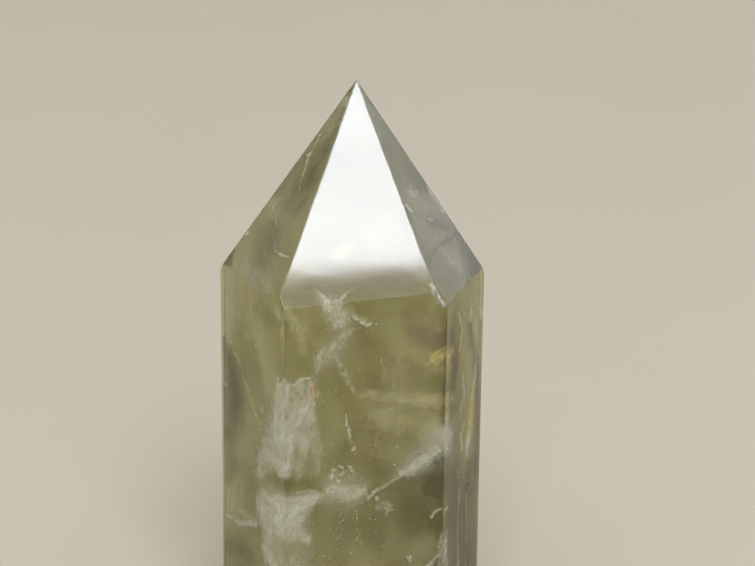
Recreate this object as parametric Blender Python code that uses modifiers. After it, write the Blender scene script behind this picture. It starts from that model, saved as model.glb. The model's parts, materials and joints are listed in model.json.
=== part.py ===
"""Citrine crystal point: a clear quartz tower ground from one piece, six-sided, with a six-facet tip.

The model stands on its flat foot at z = 0, front prism face towards -Y, with the middle of its box
on the Z axis. All sizes are in metres.
"""

import math

import bmesh
import bpy
from mathutils import Matrix, Vector, noise

# Driving dimensions
HEIGHT = 0.105             # foot to tip, before the tip is rounded
EDGE_ROUND = 0.00016       # polishing radius left on every edge
EDGE_SEGMENTS = 2
SHARP_ANGLE = math.radians(12.0)

# Prism faces: bearing in degrees (0 faces -Y, 90 faces +X) and distance from the tip's axis.
PRISM_FACES = {
    "front": (0.0, 0.0185),
    "right": (59.9, 0.0214),
    "back_right": (118.8, 0.0165),
    "back": (180.0, 0.0185),
    "back_left": (-120.5, 0.0192),
    "left": (-59.6, 0.0207),
}

# Pyramid facets, all through the tip: bearing and slope from level, in degrees. They don't quite line
# up with the prism faces, so each corner of the shoulder ends in a short edge instead of a point.
PYRAMID_FACETS = {
    "front": (-3.1, 60.3),
    "right": (55.5, 56.8),
    "back_right": (118.4, 63.5),
    "back": (180.0, 60.0),
    "back_left": (-121.5, 60.2),
    "left": (-59.7, 56.9),
}

# Chips at the front right corner of the shoulder: how far along the short edge there (0 at its upper
# end), how far off it onto the front prism face, and the scoop's half-lengths along the edge, across
# it and into the stone.
SHOULDER_CHIPS = {
    "corner_chip": (0.50, 0.00030, 0.00150, 0.00075, 0.00045),
    "upper_chip": (0.02, 0.0, 0.00090, 0.00048, 0.00040),
    "left_chip": (0.55, 0.00090, 0.00038, 0.00032, 0.00028),
    "lower_chip": (0.90, 0.00050, 0.00050, 0.00042, 0.00034),
}
SIDE_NICK_DROP = 0.0075    # below the right shoulder, on the right prism edge
SIDE_NICK = (0.0011, 0.00034, 0.00028)
CHIP_RIPPLE = 0.12         # share of a scoop's size that its rippled wall wanders
CHIP_RIPPLE_SCALE = 1.7

QUARTZ_COLOUR = (0.60, 0.53, 0.25, 1.0)
QUARTZ_IOR = 1.544
QUARTZ_ROUGHNESS = 0.03


def facing(bearing, rise=0.0):
    """Unit vector that points along a bearing and up by rise, both in degrees."""
    bearing = math.radians(bearing)
    rise = math.radians(rise)
    level = math.cos(rise)
    return Vector((level * math.sin(bearing), -level * math.cos(bearing), math.sin(rise)))


def prism_plane(face):
    """Point and normal of a prism face, with the tip's axis at x = y = 0."""
    bearing, distance = PRISM_FACES[face]
    normal = facing(bearing)
    return normal * distance, normal


def pyramid_plane(facet):
    """Point and normal of a pyramid facet: each one passes through the tip."""
    bearing, slope = PYRAMID_FACETS[facet]
    return Vector((0.0, 0.0, HEIGHT)), facing(bearing, 90.0 - slope)


def corner(*planes):
    """The point where three planes meet."""
    normals = Matrix([normal for _, normal in planes])
    offsets = Vector([point.dot(normal) for point, normal in planes])
    return normals.inverted() @ offsets


def axis_offset():
    """Where the tip's axis stands, so that the middle of the prism's box is on the Z axis."""
    foot = (Vector((0.0, 0.0, 0.0)), Vector((0.0, 0.0, 1.0)))
    faces = list(PRISM_FACES)
    corners = [
        corner(prism_plane(face), prism_plane(faces[index - 1]), foot)
        for index, face in enumerate(faces)
    ]
    middle = [(min(c[axis] for c in corners) + max(c[axis] for c in corners)) / 2 for axis in (0, 1)]
    return Vector((-middle[0], -middle[1], 0.0))


def clear_scene():
    for old in list(bpy.data.objects):
        bpy.data.objects.remove(old, do_unlink=True)


def new_collection(name):
    collection = bpy.data.collections.new(name)
    bpy.context.scene.collection.children.link(collection)
    return collection


def quartz_material():
    material = bpy.data.materials.new("clear citrine quartz")
    material.use_nodes = True
    shader = material.node_tree.nodes["Principled BSDF"]
    shader.inputs["Base Color"].default_value = QUARTZ_COLOUR
    shader.inputs["Metallic"].default_value = 0.0
    shader.inputs["Roughness"].default_value = QUARTZ_ROUGHNESS
    shader.inputs["IOR"].default_value = QUARTZ_IOR
    shader.inputs["Transmission Weight"].default_value = 1.0
    return material


def mesh_object(name, bm, collection):
    """Turn a bmesh into a named object in a collection."""
    mesh = bpy.data.meshes.new(name)
    bm.to_mesh(mesh)
    bm.free()
    obj = bpy.data.objects.new(name, mesh)
    collection.objects.link(obj)
    return obj


def grind(bm, plane):
    """Cut away what lies outside a plane and close the cut with one flat face."""
    point, normal = plane
    everything = bm.verts[:] + bm.edges[:] + bm.faces[:]
    cut = bmesh.ops.bisect_plane(
        bm, geom=everything, dist=1e-7, plane_co=point, plane_no=normal, clear_outer=True
    )
    rim = [item for item in cut["geom_cut"] if isinstance(item, bmesh.types.BMEdge)]
    bmesh.ops.contextual_create(bm, geom=rim)


def ground_crystal(collection):
    """The tower: a round blank ground flat on six sides, and then to six facets at the tip."""
    bm = bmesh.new()
    blank_radius = 2.0 * max(distance for _, distance in PRISM_FACES.values())
    bmesh.ops.create_cone(
        bm,
        cap_ends=True,
        segments=24,
        radius1=blank_radius,
        radius2=blank_radius,
        depth=HEIGHT,
        matrix=Matrix.Translation((0.0, 0.0, HEIGHT / 2)),
    )
    for face in PRISM_FACES:
        grind(bm, prism_plane(face))
    for facet in PYRAMID_FACETS:
        grind(bm, pyramid_plane(facet))
    bmesh.ops.remove_doubles(bm, verts=bm.verts, dist=1e-6)
    bmesh.ops.recalc_face_normals(bm, faces=bm.faces)
    bmesh.ops.translate(bm, verts=bm.verts, vec=axis_offset())
    crystal = mesh_object("citrine_point", bm, collection)
    crystal.data.materials.append(quartz_material())

    rounding = crystal.modifiers.new("polished edges", "BEVEL")
    rounding.width = EDGE_ROUND
    rounding.segments = EDGE_SEGMENTS
    rounding.limit_method = "ANGLE"
    rounding.angle_limit = SHARP_ANGLE
    return crystal


def chip_cutter(name, centre, along, outwards, half_sizes, collection):
    """A rippled egg that scoops a shell-shaped chip out of an edge."""
    half_along, half_across, half_deep = half_sizes
    across = outwards.cross(along).normalized()
    outwards = along.cross(across).normalized()
    frame = Matrix((along, across, outwards)).transposed()
    bm = bmesh.new()
    bmesh.ops.create_icosphere(bm, subdivisions=3, radius=1.0)
    for vertex in bm.verts:
        wander = noise.noise(vertex.co * CHIP_RIPPLE_SCALE + centre / half_along)
        unit = vertex.co * (1.0 + CHIP_RIPPLE * wander)
        sized = Vector((unit.x * half_along, unit.y * half_across, unit.z * half_deep))
        vertex.co = centre + frame @ sized
    cutter = mesh_object(name, bm, collection)
    cutter.hide_render = True
    cutter.display_type = "WIRE"
    return cutter


def shoulder_chips(collection):
    """Scoops along the short edge where the right pyramid facet meets the front prism face."""
    front = prism_plane("front")
    right_facet = pyramid_plane("right")
    upper = corner(pyramid_plane("front"), right_facet, front) + axis_offset()
    lower = corner(right_facet, front, prism_plane("right")) + axis_offset()
    along = (lower - upper).normalized()
    off_edge = along.cross(front[1])
    outwards = (front[1] + right_facet[1]).normalized()
    for name, (share, aside, *half_sizes) in SHOULDER_CHIPS.items():
        centre = upper.lerp(lower, share) + off_edge * aside
        chip_cutter(name, centre, along, outwards, half_sizes, collection)


def side_nick(collection):
    """A shallow nick on the right-hand prism edge, a little below the shoulder."""
    right = prism_plane("right")
    back_right = prism_plane("back_right")
    shoulder = corner(right, back_right, pyramid_plane("back_right")) + axis_offset()
    centre = shoulder - Vector((0.0, 0.0, SIDE_NICK_DROP))
    outwards = (right[1] + back_right[1]).normalized()
    chip_cutter("side_nick", centre, Vector((0.0, 0.0, -1.0)), outwards, SIDE_NICK, collection)


def main():
    clear_scene()
    parts = new_collection("citrine crystal point")
    cutters = new_collection("cutters")
    crystal = ground_crystal(parts)
    shoulder_chips(cutters)
    side_nick(cutters)
    for cutter in cutters.objects:
        chip = crystal.modifiers.new(cutter.name, "BOOLEAN")
        chip.operation = "DIFFERENCE"
        chip.solver = "EXACT"
        chip.object = cutter


main()
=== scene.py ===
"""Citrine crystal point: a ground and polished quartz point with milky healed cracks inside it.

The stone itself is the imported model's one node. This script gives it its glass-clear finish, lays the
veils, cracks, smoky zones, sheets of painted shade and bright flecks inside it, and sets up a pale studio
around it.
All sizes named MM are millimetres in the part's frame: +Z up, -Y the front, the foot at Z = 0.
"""

import json
import math

import bmesh
import bpy
import numpy as np
from bpy.props import FloatProperty, FloatVectorProperty, IntProperty, PointerProperty
from mathutils import Matrix, Vector, noise

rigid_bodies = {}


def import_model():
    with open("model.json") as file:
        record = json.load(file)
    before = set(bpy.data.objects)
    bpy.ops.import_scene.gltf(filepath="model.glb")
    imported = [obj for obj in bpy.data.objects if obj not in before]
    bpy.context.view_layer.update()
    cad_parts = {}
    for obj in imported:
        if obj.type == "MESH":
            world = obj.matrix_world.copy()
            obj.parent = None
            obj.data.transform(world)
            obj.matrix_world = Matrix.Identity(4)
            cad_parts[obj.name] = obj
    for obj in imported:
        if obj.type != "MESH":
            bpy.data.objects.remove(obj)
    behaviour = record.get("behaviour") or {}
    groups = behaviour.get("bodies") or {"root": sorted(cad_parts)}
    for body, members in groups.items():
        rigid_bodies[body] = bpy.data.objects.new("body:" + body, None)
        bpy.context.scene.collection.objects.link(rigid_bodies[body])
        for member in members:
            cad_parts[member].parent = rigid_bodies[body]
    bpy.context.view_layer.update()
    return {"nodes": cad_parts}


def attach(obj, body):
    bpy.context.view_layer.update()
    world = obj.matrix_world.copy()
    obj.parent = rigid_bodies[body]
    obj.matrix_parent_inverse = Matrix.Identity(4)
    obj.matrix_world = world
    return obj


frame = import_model()

bl_info = {
    "name": "Citrine Point",
    "version": (1, 0, 0),
    "blender": (4, 5, 0),
    "location": "3D View > Sidebar > Citrine",
    "description": "Dresses a polished citrine point with its inner veils, cracks and flecks",
    "category": "Object",
}

MM = 0.001
STONE = "citrine_point"
CLEARANCE_MM = 0.35          # how far every inner piece stays under the polished faces
LEAST_DENSITY = 0.015        # a veil is cut away where it is thinner than this
WANDER_SEED = 7              # seed of the offsets that make the veils ragged and rippled
LARGE_FACE_MM2 = 60.0        # a smaller flat face of the stone is a chip
POLISH_WAVE = 0.0045 * MM    # how high the lap's waviness stands on the polished faces
GRIT = 0.12 * MM             # how high the grit of the sawn foot and of the chips stands
FLOOR_REACH, FLOOR_DROP = 20.0, 0.05 * MM       # half the floor's width, and how far it lies under the foot
FILL_SIZE, FILL_DISTANCE = (0.8, 0.6), 1.4      # a fill light's width and height, and how far off it is
LIT_HEIGHT = 80 * MM         # what height the softbox and the fill lights are turned to
SENSOR_MM = 36.0             # width of the camera's sensor

# Which face a sheet lies behind: its bearing from the front towards +X and its steepness, in degrees.
FRONT, LEFT, RIGHT = (0.0, 90.0), (-60.0, 90.0), (60.0, 90.0)
BACK, BACK_LEFT, BACK_RIGHT = (180.0, 90.0), (240.0, 90.0), (120.0, 90.0)
LEFT_SLOPE, RIGHT_SLOPE = (-60.0, 57.0), (55.0, 57.0)


# ---------------------------------------------------------------------------------------------
# Where things are inside the stone. A stroke is (strength, ((x, y, z, half width), ...)) in mm.
# ---------------------------------------------------------------------------------------------

PLUME = (
    (0.9, ((-12.2, -14.3, 56.3, 0.6), (-12.1, -15.6, 53.4, 1.5), (-13.2, -13.8, 48.2, 2.3),
           (-14.5, -11.6, 42.7, 2.1), (-15.5, -9.9, 37.8, 1.0))),
    (0.9, ((-9.6, -14.3, 56.6, 0.8), (-9.8, -14.3, 53.3, 2.0), (-11.0, -13.7, 48.7, 2.3),
           (-11.5, -16.7, 45.0, 1.6), (-12.0, -15.9, 40.1, 0.8))),
    (0.9, ((-7.4, -14.1, 56.5, 0.6), (-7.9, -14.1, 52.4, 1.4), (-8.8, -13.7, 47.9, 1.9),
           (-9.6, -12.9, 43.0, 1.5), (-9.9, -12.3, 39.1, 0.8))),
    (0.7, ((-7.3, -13.7, 48.9, 0.8), (-6.7, -13.3, 44.0, 0.9), (-6.7, -12.7, 39.5, 0.5))),
)
PLUME_CORE = (
    (1.0, ((-8.3, -14.9, 53.8, 0.4), (-9.3, -14.9, 51.9, 0.9), (-10.3, -14.7, 50.1, 0.7))),
    (0.8, ((-7.6, -14.9, 53.4, 0.3), (-7.5, -14.7, 51.1, 0.6), (-8.6, -14.7, 49.3, 0.5))),
    (0.7, ((-12.8, -14.6, 49.6, 0.7), (-11.5, -16.7, 48.7, 1.0), (-11.3, -13.9, 45.8, 0.8))),
    (0.7, ((-14.0, -12.4, 41.9, 0.6), (-12.2, -15.6, 41.5, 0.8), (-9.6, -13.1, 41.0, 0.8))),
)
PLUME_EDGE = (
    (1.0, ((-12.2, -14.5, 57.6, 0.22), (-12.0, -14.5, 57.1, 0.26))),
    (0.9, ((-11.8, -14.5, 56.3, 0.18), (-11.7, -14.5, 55.8, 0.14))),
    (0.9, ((-10.8, -14.5, 56.3, 0.12), (-9.8, -14.5, 57.0, 0.2), (-8.8, -14.5, 57.7, 0.26),
           (-7.6, -14.5, 57.9, 0.22))),
    (0.45, ((-11.7, -14.3, 56.3, 0.5), (-9.6, -14.3, 56.4, 0.7), (-7.3, -14.3, 57.2, 0.6))),
)
STAR = (
    (1.0, ((-6.8, -13.1, 72.3, 0.12), (-6.0, -13.6, 71.5, 0.3), (-5.2, -14.4, 70.7, 0.5),
           (-4.5, -14.5, 70.5, 0.5))),
    (1.0, ((-1.8, -13.6, 71.9, 0.1), (-2.5, -14.0, 71.2, 0.2), (-3.2, -14.6, 70.6, 0.22),
           (-4.0, -14.5, 70.3, 0.3))),
    (1.0, ((-5.3, -14.5, 70.7, 0.6), (-4.2, -14.5, 69.8, 1.2), (-3.0, -14.5, 68.8, 1.3),
           (-3.5, -14.5, 67.4, 0.9))),
    (0.45, ((-2.5, -14.5, 69.7, 0.3), (-1.1, -14.5, 69.2, 0.4), (0.0, -14.5, 68.4, 0.4),
            (1.2, -14.5, 67.7, 0.4))),
    (0.25, ((-7.0, -13.0, 73.1, 0.6), (-5.2, -13.5, 72.3, 1.6), (-3.2, -13.8, 72.0, 1.4),
            (-1.2, -13.2, 73.2, 0.8))),
)
STAR_DOTS = (
    (1.0, ((0.4, -14.9, 67.8, 0.3), (0.9, -14.9, 67.6, 0.35))),
    (1.0, ((1.5, -14.9, 67.2, 0.35), (2.2, -14.9, 67.4, 0.28))),
    (0.9, ((-0.6, -14.7, 68.5, 0.2), (-0.1, -14.7, 68.3, 0.2))),
    (1.0, ((-5.6, -14.5, 71.0, 0.22), (-4.8, -14.7, 70.9, 0.34), (-4.2, -14.7, 70.4, 0.26))),
    (1.0, ((-2.9, -14.6, 71.0, 0.16), (-3.7, -14.7, 70.9, 0.2))),
    (0.8, ((-5.5, -14.7, 66.6, 0.14), (-5.3, -14.7, 66.4, 0.14))),
)
TRAIL = (
    (0.55, ((-1.3, -14.5, 66.1, 0.6), (-2.5, -14.7, 65.1, 1.0), (-4.0, -14.9, 63.7, 1.3),
            (-5.3, -15.1, 62.3, 1.4), (-6.3, -15.1, 60.7, 0.9), (-6.8, -15.1, 58.5, 0.4))),
    (0.9, ((-2.2, -15.3, 65.8, 0.2), (-2.8, -15.3, 65.1, 0.26))),
    (1.0, ((-4.0, -15.3, 64.2, 0.26), (-4.5, -15.3, 63.5, 0.36), (-4.8, -15.3, 62.7, 0.22))),
    (1.0, ((-6.0, -15.3, 62.8, 0.3), (-6.5, -15.3, 61.7, 0.42), (-6.3, -15.3, 61.0, 0.3))),
    (0.8, ((-6.7, -15.3, 59.9, 0.2), (-6.8, -15.3, 59.2, 0.2))),
)
FLAME = (
    (1.0, ((-1.9, -15.5, 51.2, 0.08), (-1.9, -15.5, 49.9, 0.22), (-1.9, -15.5, 49.1, 0.26))),
    (1.0, ((-1.6, -15.5, 48.4, 0.2), (-1.2, -15.5, 47.4, 0.24), (-1.0, -15.5, 46.7, 0.14))),
    (0.45, ((-1.7, -15.3, 49.2, 0.5), (-1.2, -15.3, 47.4, 0.7), (-0.9, -15.3, 45.5, 0.5))),
    (0.9, ((5.7, -15.5, 51.9, 0.26), (5.9, -15.5, 51.3, 0.3))),
    (0.8, ((-0.3, -15.3, 45.1, 0.28), (-0.7, -15.3, 44.4, 0.4))),
)
CRACK_BEADS = (
    (1.0, ((7.9, -14.9, 39.5, 0.3), (8.8, -15.1, 40.3, 0.6), (9.6, -15.1, 40.6, 0.4),
           (10.6, -15.1, 41.6, 0.35))),
    (1.0, ((11.0, -15.1, 41.9, 0.4), (12.2, -15.1, 42.4, 0.65), (13.2, -15.1, 43.2, 0.5),
           (14.2, -14.9, 43.8, 0.3))),
    (0.8, ((13.8, -14.9, 44.0, 0.4), (14.9, -14.7, 44.7, 0.6), (14.4, -16.1, 45.8, 0.4))),
)
LOBES = (
    (0.9, ((-4.7, -14.9, 37.0, 0.8), (-3.2, -14.9, 36.6, 1.3), (-1.3, -14.9, 35.8, 1.4),
           (0.3, -14.9, 36.3, 1.1), (1.3, -14.9, 37.2, 0.6))),
    (1.0, ((-3.9, -15.3, 37.5, 0.5), (-2.5, -15.3, 36.5, 0.8), (-0.8, -15.3, 35.7, 0.7))),
    (0.6, ((3.4, -14.5, 33.1, 0.4), (4.8, -14.5, 33.8, 0.6), (6.0, -14.5, 33.0, 0.5),
           (5.1, -14.5, 32.1, 0.4))),
    (0.35, ((-5.9, -14.1, 38.5, 1.0), (-3.8, -14.3, 38.9, 1.6), (-1.1, -14.5, 39.3, 1.6),
            (0.9, -14.5, 38.5, 1.0))),
)
CLOUD_EDGE = (
    (1.0, ((-13.3, -13.7, 34.4, 0.25), (-12.6, -14.8, 33.8, 0.4), (-12.3, -15.3, 32.7, 0.4),
           (-12.8, -14.5, 31.2, 0.2))),
    (1.0, ((-12.1, -14.9, 30.8, 0.3), (-10.9, -14.9, 32.1, 0.6), (-9.7, -14.9, 33.6, 0.7),
           (-8.3, -14.9, 34.9, 0.5), (-6.4, -14.9, 35.6, 0.2))),
    (0.9, ((-15.0, -10.7, 34.9, 0.25), (-15.5, -9.9, 33.0, 0.25), (-15.2, -10.4, 31.7, 0.25))),
    (0.9, ((-14.6, -11.5, 29.3, 0.3), (-14.1, -12.3, 27.0, 0.35), (-15.1, -10.7, 24.1, 0.25),
           (-14.4, -11.7, 22.5, 0.2))),
    (0.8, ((-10.2, -14.5, 36.5, 0.12), (-8.6, -14.5, 36.8, 0.15), (-6.9, -14.7, 36.7, 0.2))),
)
WISPS = (
    (0.8, ((12.9, -14.5, 31.1, 0.25), (13.4, -14.5, 32.0, 0.35), (14.4, -14.5, 32.5, 0.3),
           (14.5, -15.9, 32.7, 0.3))),
    (0.7, ((12.2, -14.9, 21.4, 0.5), (13.4, -14.9, 22.5, 0.6), (14.5, -14.9, 24.2, 0.6),
           (14.7, -15.6, 25.7, 0.4))),
    (0.6, ((14.6, -14.3, 21.5, 0.5), (14.5, -16.0, 24.9, 0.6), (14.8, -15.4, 28.4, 0.4))),
    (1.0, ((9.0, -15.5, 23.6, 0.25), (9.5, -15.5, 24.0, 0.3), (9.3, -15.5, 23.0, 0.2))),
    (0.6, ((0.1, -14.9, 32.3, 0.14), (0.1, -14.9, 30.8, 0.12))),
    (0.5, ((-4.5, -14.7, 25.7, 0.1), (-3.1, -14.7, 27.6, 0.12), (-2.3, -14.7, 29.5, 0.08))),
    (0.5, ((5.0, -14.7, 25.4, 0.08), (5.7, -14.7, 27.7, 0.1))),
    (0.45, ((7.9, -14.7, 29.9, 0.08), (7.2, -14.7, 27.7, 0.1))),
    (0.45, ((10.7, -14.7, 26.8, 0.08), (11.7, -14.7, 28.7, 0.1), (12.2, -14.7, 30.2, 0.08))),
    (0.4, ((-8.3, -14.7, 24.3, 0.1), (-6.9, -14.7, 25.8, 0.12), (-4.8, -14.7, 27.1, 0.1))),
    (0.5, ((1.1, -14.9, 33.1, 0.1), (1.3, -14.9, 31.2, 0.1))),
    (0.5, ((0.8, -14.9, 28.7, 0.12), (0.8, -14.9, 26.2, 0.12))),
    (0.5, ((-5.0, -14.9, 31.7, 0.12), (-2.8, -14.9, 32.8, 0.14), (-0.8, -14.9, 33.7, 0.14))),
)
GOLD = (
    (1.0, ((1.0, -9.5, 63.5, 1.6), (2.7, -9.5, 60.8, 3.0), (3.7, -9.5, 57.5, 3.0), (3.4, -9.5, 54.6, 1.6))),
    (0.6, ((2.7, -11.0, 46.8, 1.6), (3.8, -11.0, 44.0, 1.8), (1.7, -11.5, 41.3, 1.4))),
)
GOLD_STREAKS = (
    (1.0, ((4.0, -11.5, 60.2, 0.1), (4.5, -11.5, 58.8, 0.22), (5.2, -11.5, 56.9, 0.12))),
    (0.8, ((0.1, -11.5, 57.4, 0.1), (0.4, -11.5, 58.5, 0.16), (0.7, -11.5, 59.6, 0.1))),
    (0.9, ((13.4, -13.9, 61.7, 0.25), (14.1, -13.9, 62.1, 0.35), (14.9, -13.9, 62.6, 0.2))),
    (0.7, ((6.8, -11.5, 61.5, 0.3), (7.7, -11.5, 60.5, 0.3))),
)
# Painted shade: a dark sheet behind the left face, so that the see-through wedge at the left edge looks dark.
LEFT_PAINTED_SHADE = (
    (0.9, ((-21.0, -0.7, 58.6, 0.8), (-20.6, -1.5, 56.0, 1.8), (-19.8, -2.3, 53.0, 2.6),
           (-19.4, -2.6, 49.0, 3.0), (-19.6, -2.3, 44.6, 2.6), (-20.0, -1.7, 40.6, 1.8))),
    (0.5, ((-20.9, -1.0, 39.8, 1.6), (-19.9, -2.6, 36.7, 2.0), (-20.6, -1.4, 32.3, 1.2))),
    (0.5, ((-19.9, -2.2, 19.4, 1.6), (-17.9, -5.6, 21.0, 1.8), (-17.0, -7.2, 20.3, 1.4))),
    (0.3, ((-14.7, -10.6, 69.0, 1.4), (-13.5, -12.7, 67.6, 1.6), (-11.9, -15.4, 68.0, 0.9))),
)
LEFT_SHEETS = (
    (0.9, ((-17.2, -8.0, 69.5, 0.12), (-16.9, -8.5, 68.0, 0.25), (-16.4, -9.3, 66.2, 0.22),
           (-16.1, -9.8, 64.2, 0.1))),
    (0.6, ((-18.0, -6.2, 68.2, 0.2), (-17.4, -7.2, 66.5, 0.2), (-16.9, -8.0, 64.9, 0.1))),
    (0.7, ((-20.8, -1.5, 60.8, 0.25), (-19.5, -3.6, 57.6, 0.35), (-18.3, -5.8, 55.5, 0.4),
           (-17.8, -6.6, 53.6, 0.3), (-16.7, -8.4, 50.3, 0.45), (-15.6, -10.3, 47.0, 0.5))),
    (0.45, ((-20.3, -1.9, 65.4, 0.8), (-18.4, -5.1, 64.5, 1.4), (-16.5, -8.3, 61.8, 1.8),
            (-15.0, -11.0, 58.8, 1.4))),
    (0.55, ((-14.9, -10.7, 51.7, 0.5), (-14.7, -11.0, 48.5, 0.6), (-15.2, -10.2, 44.7, 0.5))),
    (0.6, ((-20.7, -1.6, 28.4, 0.8), (-19.1, -4.4, 27.4, 1.2), (-16.8, -8.3, 28.5, 1.0),
           (-15.8, -9.9, 28.5, 0.6))),
)
LEFT_DOTS = (
    (1.0, ((-21.3, -1.4, 50.6, 0.2), (-21.0, -2.0, 50.5, 0.25))),
    (0.8, ((-21.3, -1.4, 25.2, 0.4), (-19.0, -5.3, 25.9, 0.8), (-16.4, -9.8, 27.6, 0.7))),
)
RIGHT_SLIVER = (
    (1.0, ((20.9, -5.8, 57.8, 0.2), (20.4, -6.8, 54.1, 0.4), (19.8, -7.7, 50.0, 0.8),
           (19.5, -8.2, 45.7, 1.1), (19.2, -8.8, 42.2, 1.1), (19.0, -9.1, 39.5, 0.4))),
    (0.8, ((16.5, -13.0, 68.0, 0.2), (17.3, -11.8, 64.2, 0.35), (16.9, -12.3, 60.7, 0.3))),
    (0.8, ((18.1, -10.2, 46.0, 0.35), (17.5, -11.3, 44.2, 0.45), (17.8, -10.8, 41.3, 0.4))),
    (0.6, ((17.7, -11.0, 55.5, 0.2), (18.0, -10.5, 51.5, 0.35), (17.4, -11.5, 48.8, 0.35))),
    (0.6, ((18.8, -9.1, 68.9, 0.2), (19.1, -8.6, 66.5, 0.3), (18.9, -8.9, 64.4, 0.2))),
    (0.4, ((17.0, -11.9, 38.1, 0.3), (17.3, -11.3, 32.0, 0.4), (17.1, -11.7, 24.5, 0.4),
           (17.5, -11.0, 16.3, 0.3))),
    (0.4, ((18.7, -8.8, 34.6, 0.25), (18.9, -8.4, 26.7, 0.3), (19.0, -8.4, 17.7, 0.3))),
)
RIGHT_GOLD = (
    (1.0, ((14.9, -15.0, 66.4, 0.6), (14.9, -14.6, 62.8, 1.0), (15.6, -13.4, 58.5, 1.5),
           (15.3, -14.0, 55.1, 1.5), (14.9, -14.5, 51.7, 0.9), (14.8, -14.7, 47.1, 0.5))),
)
TIP_LEFT = (
    (0.7, ((-5.0, -0.6, 95.0, 0.1), (-6.0, -0.8, 92.5, 0.2), (-7.2, -1.7, 90.0, 0.3),
           (-8.0, -2.9, 87.5, 0.25), (-8.4, -4.0, 86.1, 0.15))),
    (0.7, ((-12.9, -4.7, 80.1, 0.1), (-13.0, -6.7, 78.3, 0.16), (-12.6, -8.7, 77.3, 0.26),
           (-11.5, -10.7, 77.2, 0.28), (-10.4, -12.0, 77.6, 0.16))),
    (0.5, ((-11.1, -7.7, 79.7, 0.12), (-11.7, -8.9, 78.0, 0.16))),
    (0.35, ((-9.9, -5.6, 82.6, 0.8), (-11.0, -6.6, 80.3, 1.0), (-12.3, -6.6, 78.6, 0.9))),
    (0.35, ((-18.4, -3.6, 73.6, 1.4), (-16.0, -8.6, 73.0, 1.6), (-14.1, -12.2, 72.6, 1.2))),
    (0.9, ((-5.2, -0.7, 95.5, 0.16), (-5.4, -0.8, 95.2, 0.16))),
    (0.9, ((-7.3, -1.4, 92.2, 0.14), (-7.4, -1.5, 91.9, 0.14))),
    (1.0, ((-17.4, -1.7, 78.5, 0.2), (-17.6, -1.8, 78.2, 0.2))),
)
TIP_LEFT_SMOKE = (
    (0.75, ((-0.7, -1.1, 99.6, 0.5), (-2.6, -2.1, 96.1, 0.9), (-4.6, -3.2, 92.2, 1.2),
            (-6.7, -4.5, 88.5, 1.4), (-8.4, -6.3, 84.7, 1.2))),
    (0.7, ((-8.2, -3.9, 86.5, 1.6), (-10.8, -4.8, 82.4, 2.4), (-13.4, -5.7, 78.3, 2.6),
           (-14.8, -7.5, 75.0, 2.0))),
)
TIP_RIGHT = (
    (1.0, ((8.1, -9.6, 86.0, 0.16), (8.6, -9.8, 85.1, 0.26), (9.1, -9.6, 84.7, 0.2))),
    (0.45, ((9.1, -9.5, 84.6, 0.12), (11.0, -7.1, 84.2, 0.12), (13.2, -4.9, 83.4, 0.14),
            (15.1, -3.5, 82.2, 0.2))),
    (1.0, ((12.3, -2.5, 86.8, 0.12), (12.7, -2.8, 85.8, 0.2), (13.2, -3.2, 84.9, 0.22))),
    (1.0, ((14.0, -3.1, 84.1, 0.24), (14.5, -3.4, 83.3, 0.34), (15.0, -3.6, 82.5, 0.2))),
    (0.8, ((12.5, -2.6, 86.1, 0.5), (13.5, -3.0, 84.4, 0.6), (14.6, -3.3, 82.9, 0.5))),
    (0.9, ((11.9, -7.5, 82.3, 0.24), (12.6, -7.0, 81.8, 0.24))),
    (0.4, ((6.6, -4.6, 89.9, 0.9), (7.8, -5.6, 87.6, 1.3), (9.2, -6.3, 85.2, 1.2))),
    (0.4, ((12.8, -9.4, 78.0, 1.0), (15.2, -8.7, 75.5, 1.8), (17.0, -8.4, 73.5, 1.6))),
    (0.8, ((10.1, -5.4, 86.8, 0.1), (10.2, -5.7, 86.4, 0.12))),
)
LOBE_DOTS = (
    (1.0, ((-4.4, -15.3, 39.2, 0.3), (-4.2, -15.3, 39.8, 0.35))),
    (1.0, ((-4.1, -15.3, 40.7, 0.3), (-3.7, -15.3, 40.9, 0.3))),
    (1.0, ((-2.9, -15.3, 41.4, 0.25), (-2.4, -15.3, 41.2, 0.3))),
    (0.9, ((-2.7, -15.3, 39.9, 0.3), (-2.2, -15.3, 40.3, 0.25))),
    (0.9, ((-1.2, -15.3, 41.2, 0.3), (-1.0, -15.3, 40.4, 0.25))),
    (0.9, ((-3.4, -15.3, 38.8, 0.25), (-3.0, -15.3, 38.6, 0.3))),
    (1.0, ((2.0, -15.3, 35.1, 0.3), (2.1, -15.3, 35.4, 0.3))),
    (1.0, ((2.8, -15.3, 36.2, 0.3), (3.0, -15.3, 36.4, 0.3))),
    (1.0, ((3.5, -15.3, 35.2, 0.3), (3.5, -15.3, 34.8, 0.25))),
)
CRACK = (
    (1.0, ((14.4, -16.1, 46.2, 1.6), (13.9, -14.3, 43.9, 1.6), (11.8, -14.5, 42.3, 1.2),
           (9.5, -14.7, 40.5, 0.8), (7.4, -14.9, 39.5, 0.35))),
    (0.9, ((8.3, -14.9, 39.7, 0.15), (6.6, -14.9, 38.6, 0.12), (4.9, -14.9, 37.5, 0.14),
           (3.3, -14.9, 36.6, 0.2), (2.1, -14.9, 35.3, 0.25))),
    (0.35, ((14.9, -13.7, 47.2, 2.2), (12.5, -13.9, 44.7, 2.2), (9.5, -14.1, 42.6, 1.6),
            (6.7, -14.3, 40.9, 0.9))),
)
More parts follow.
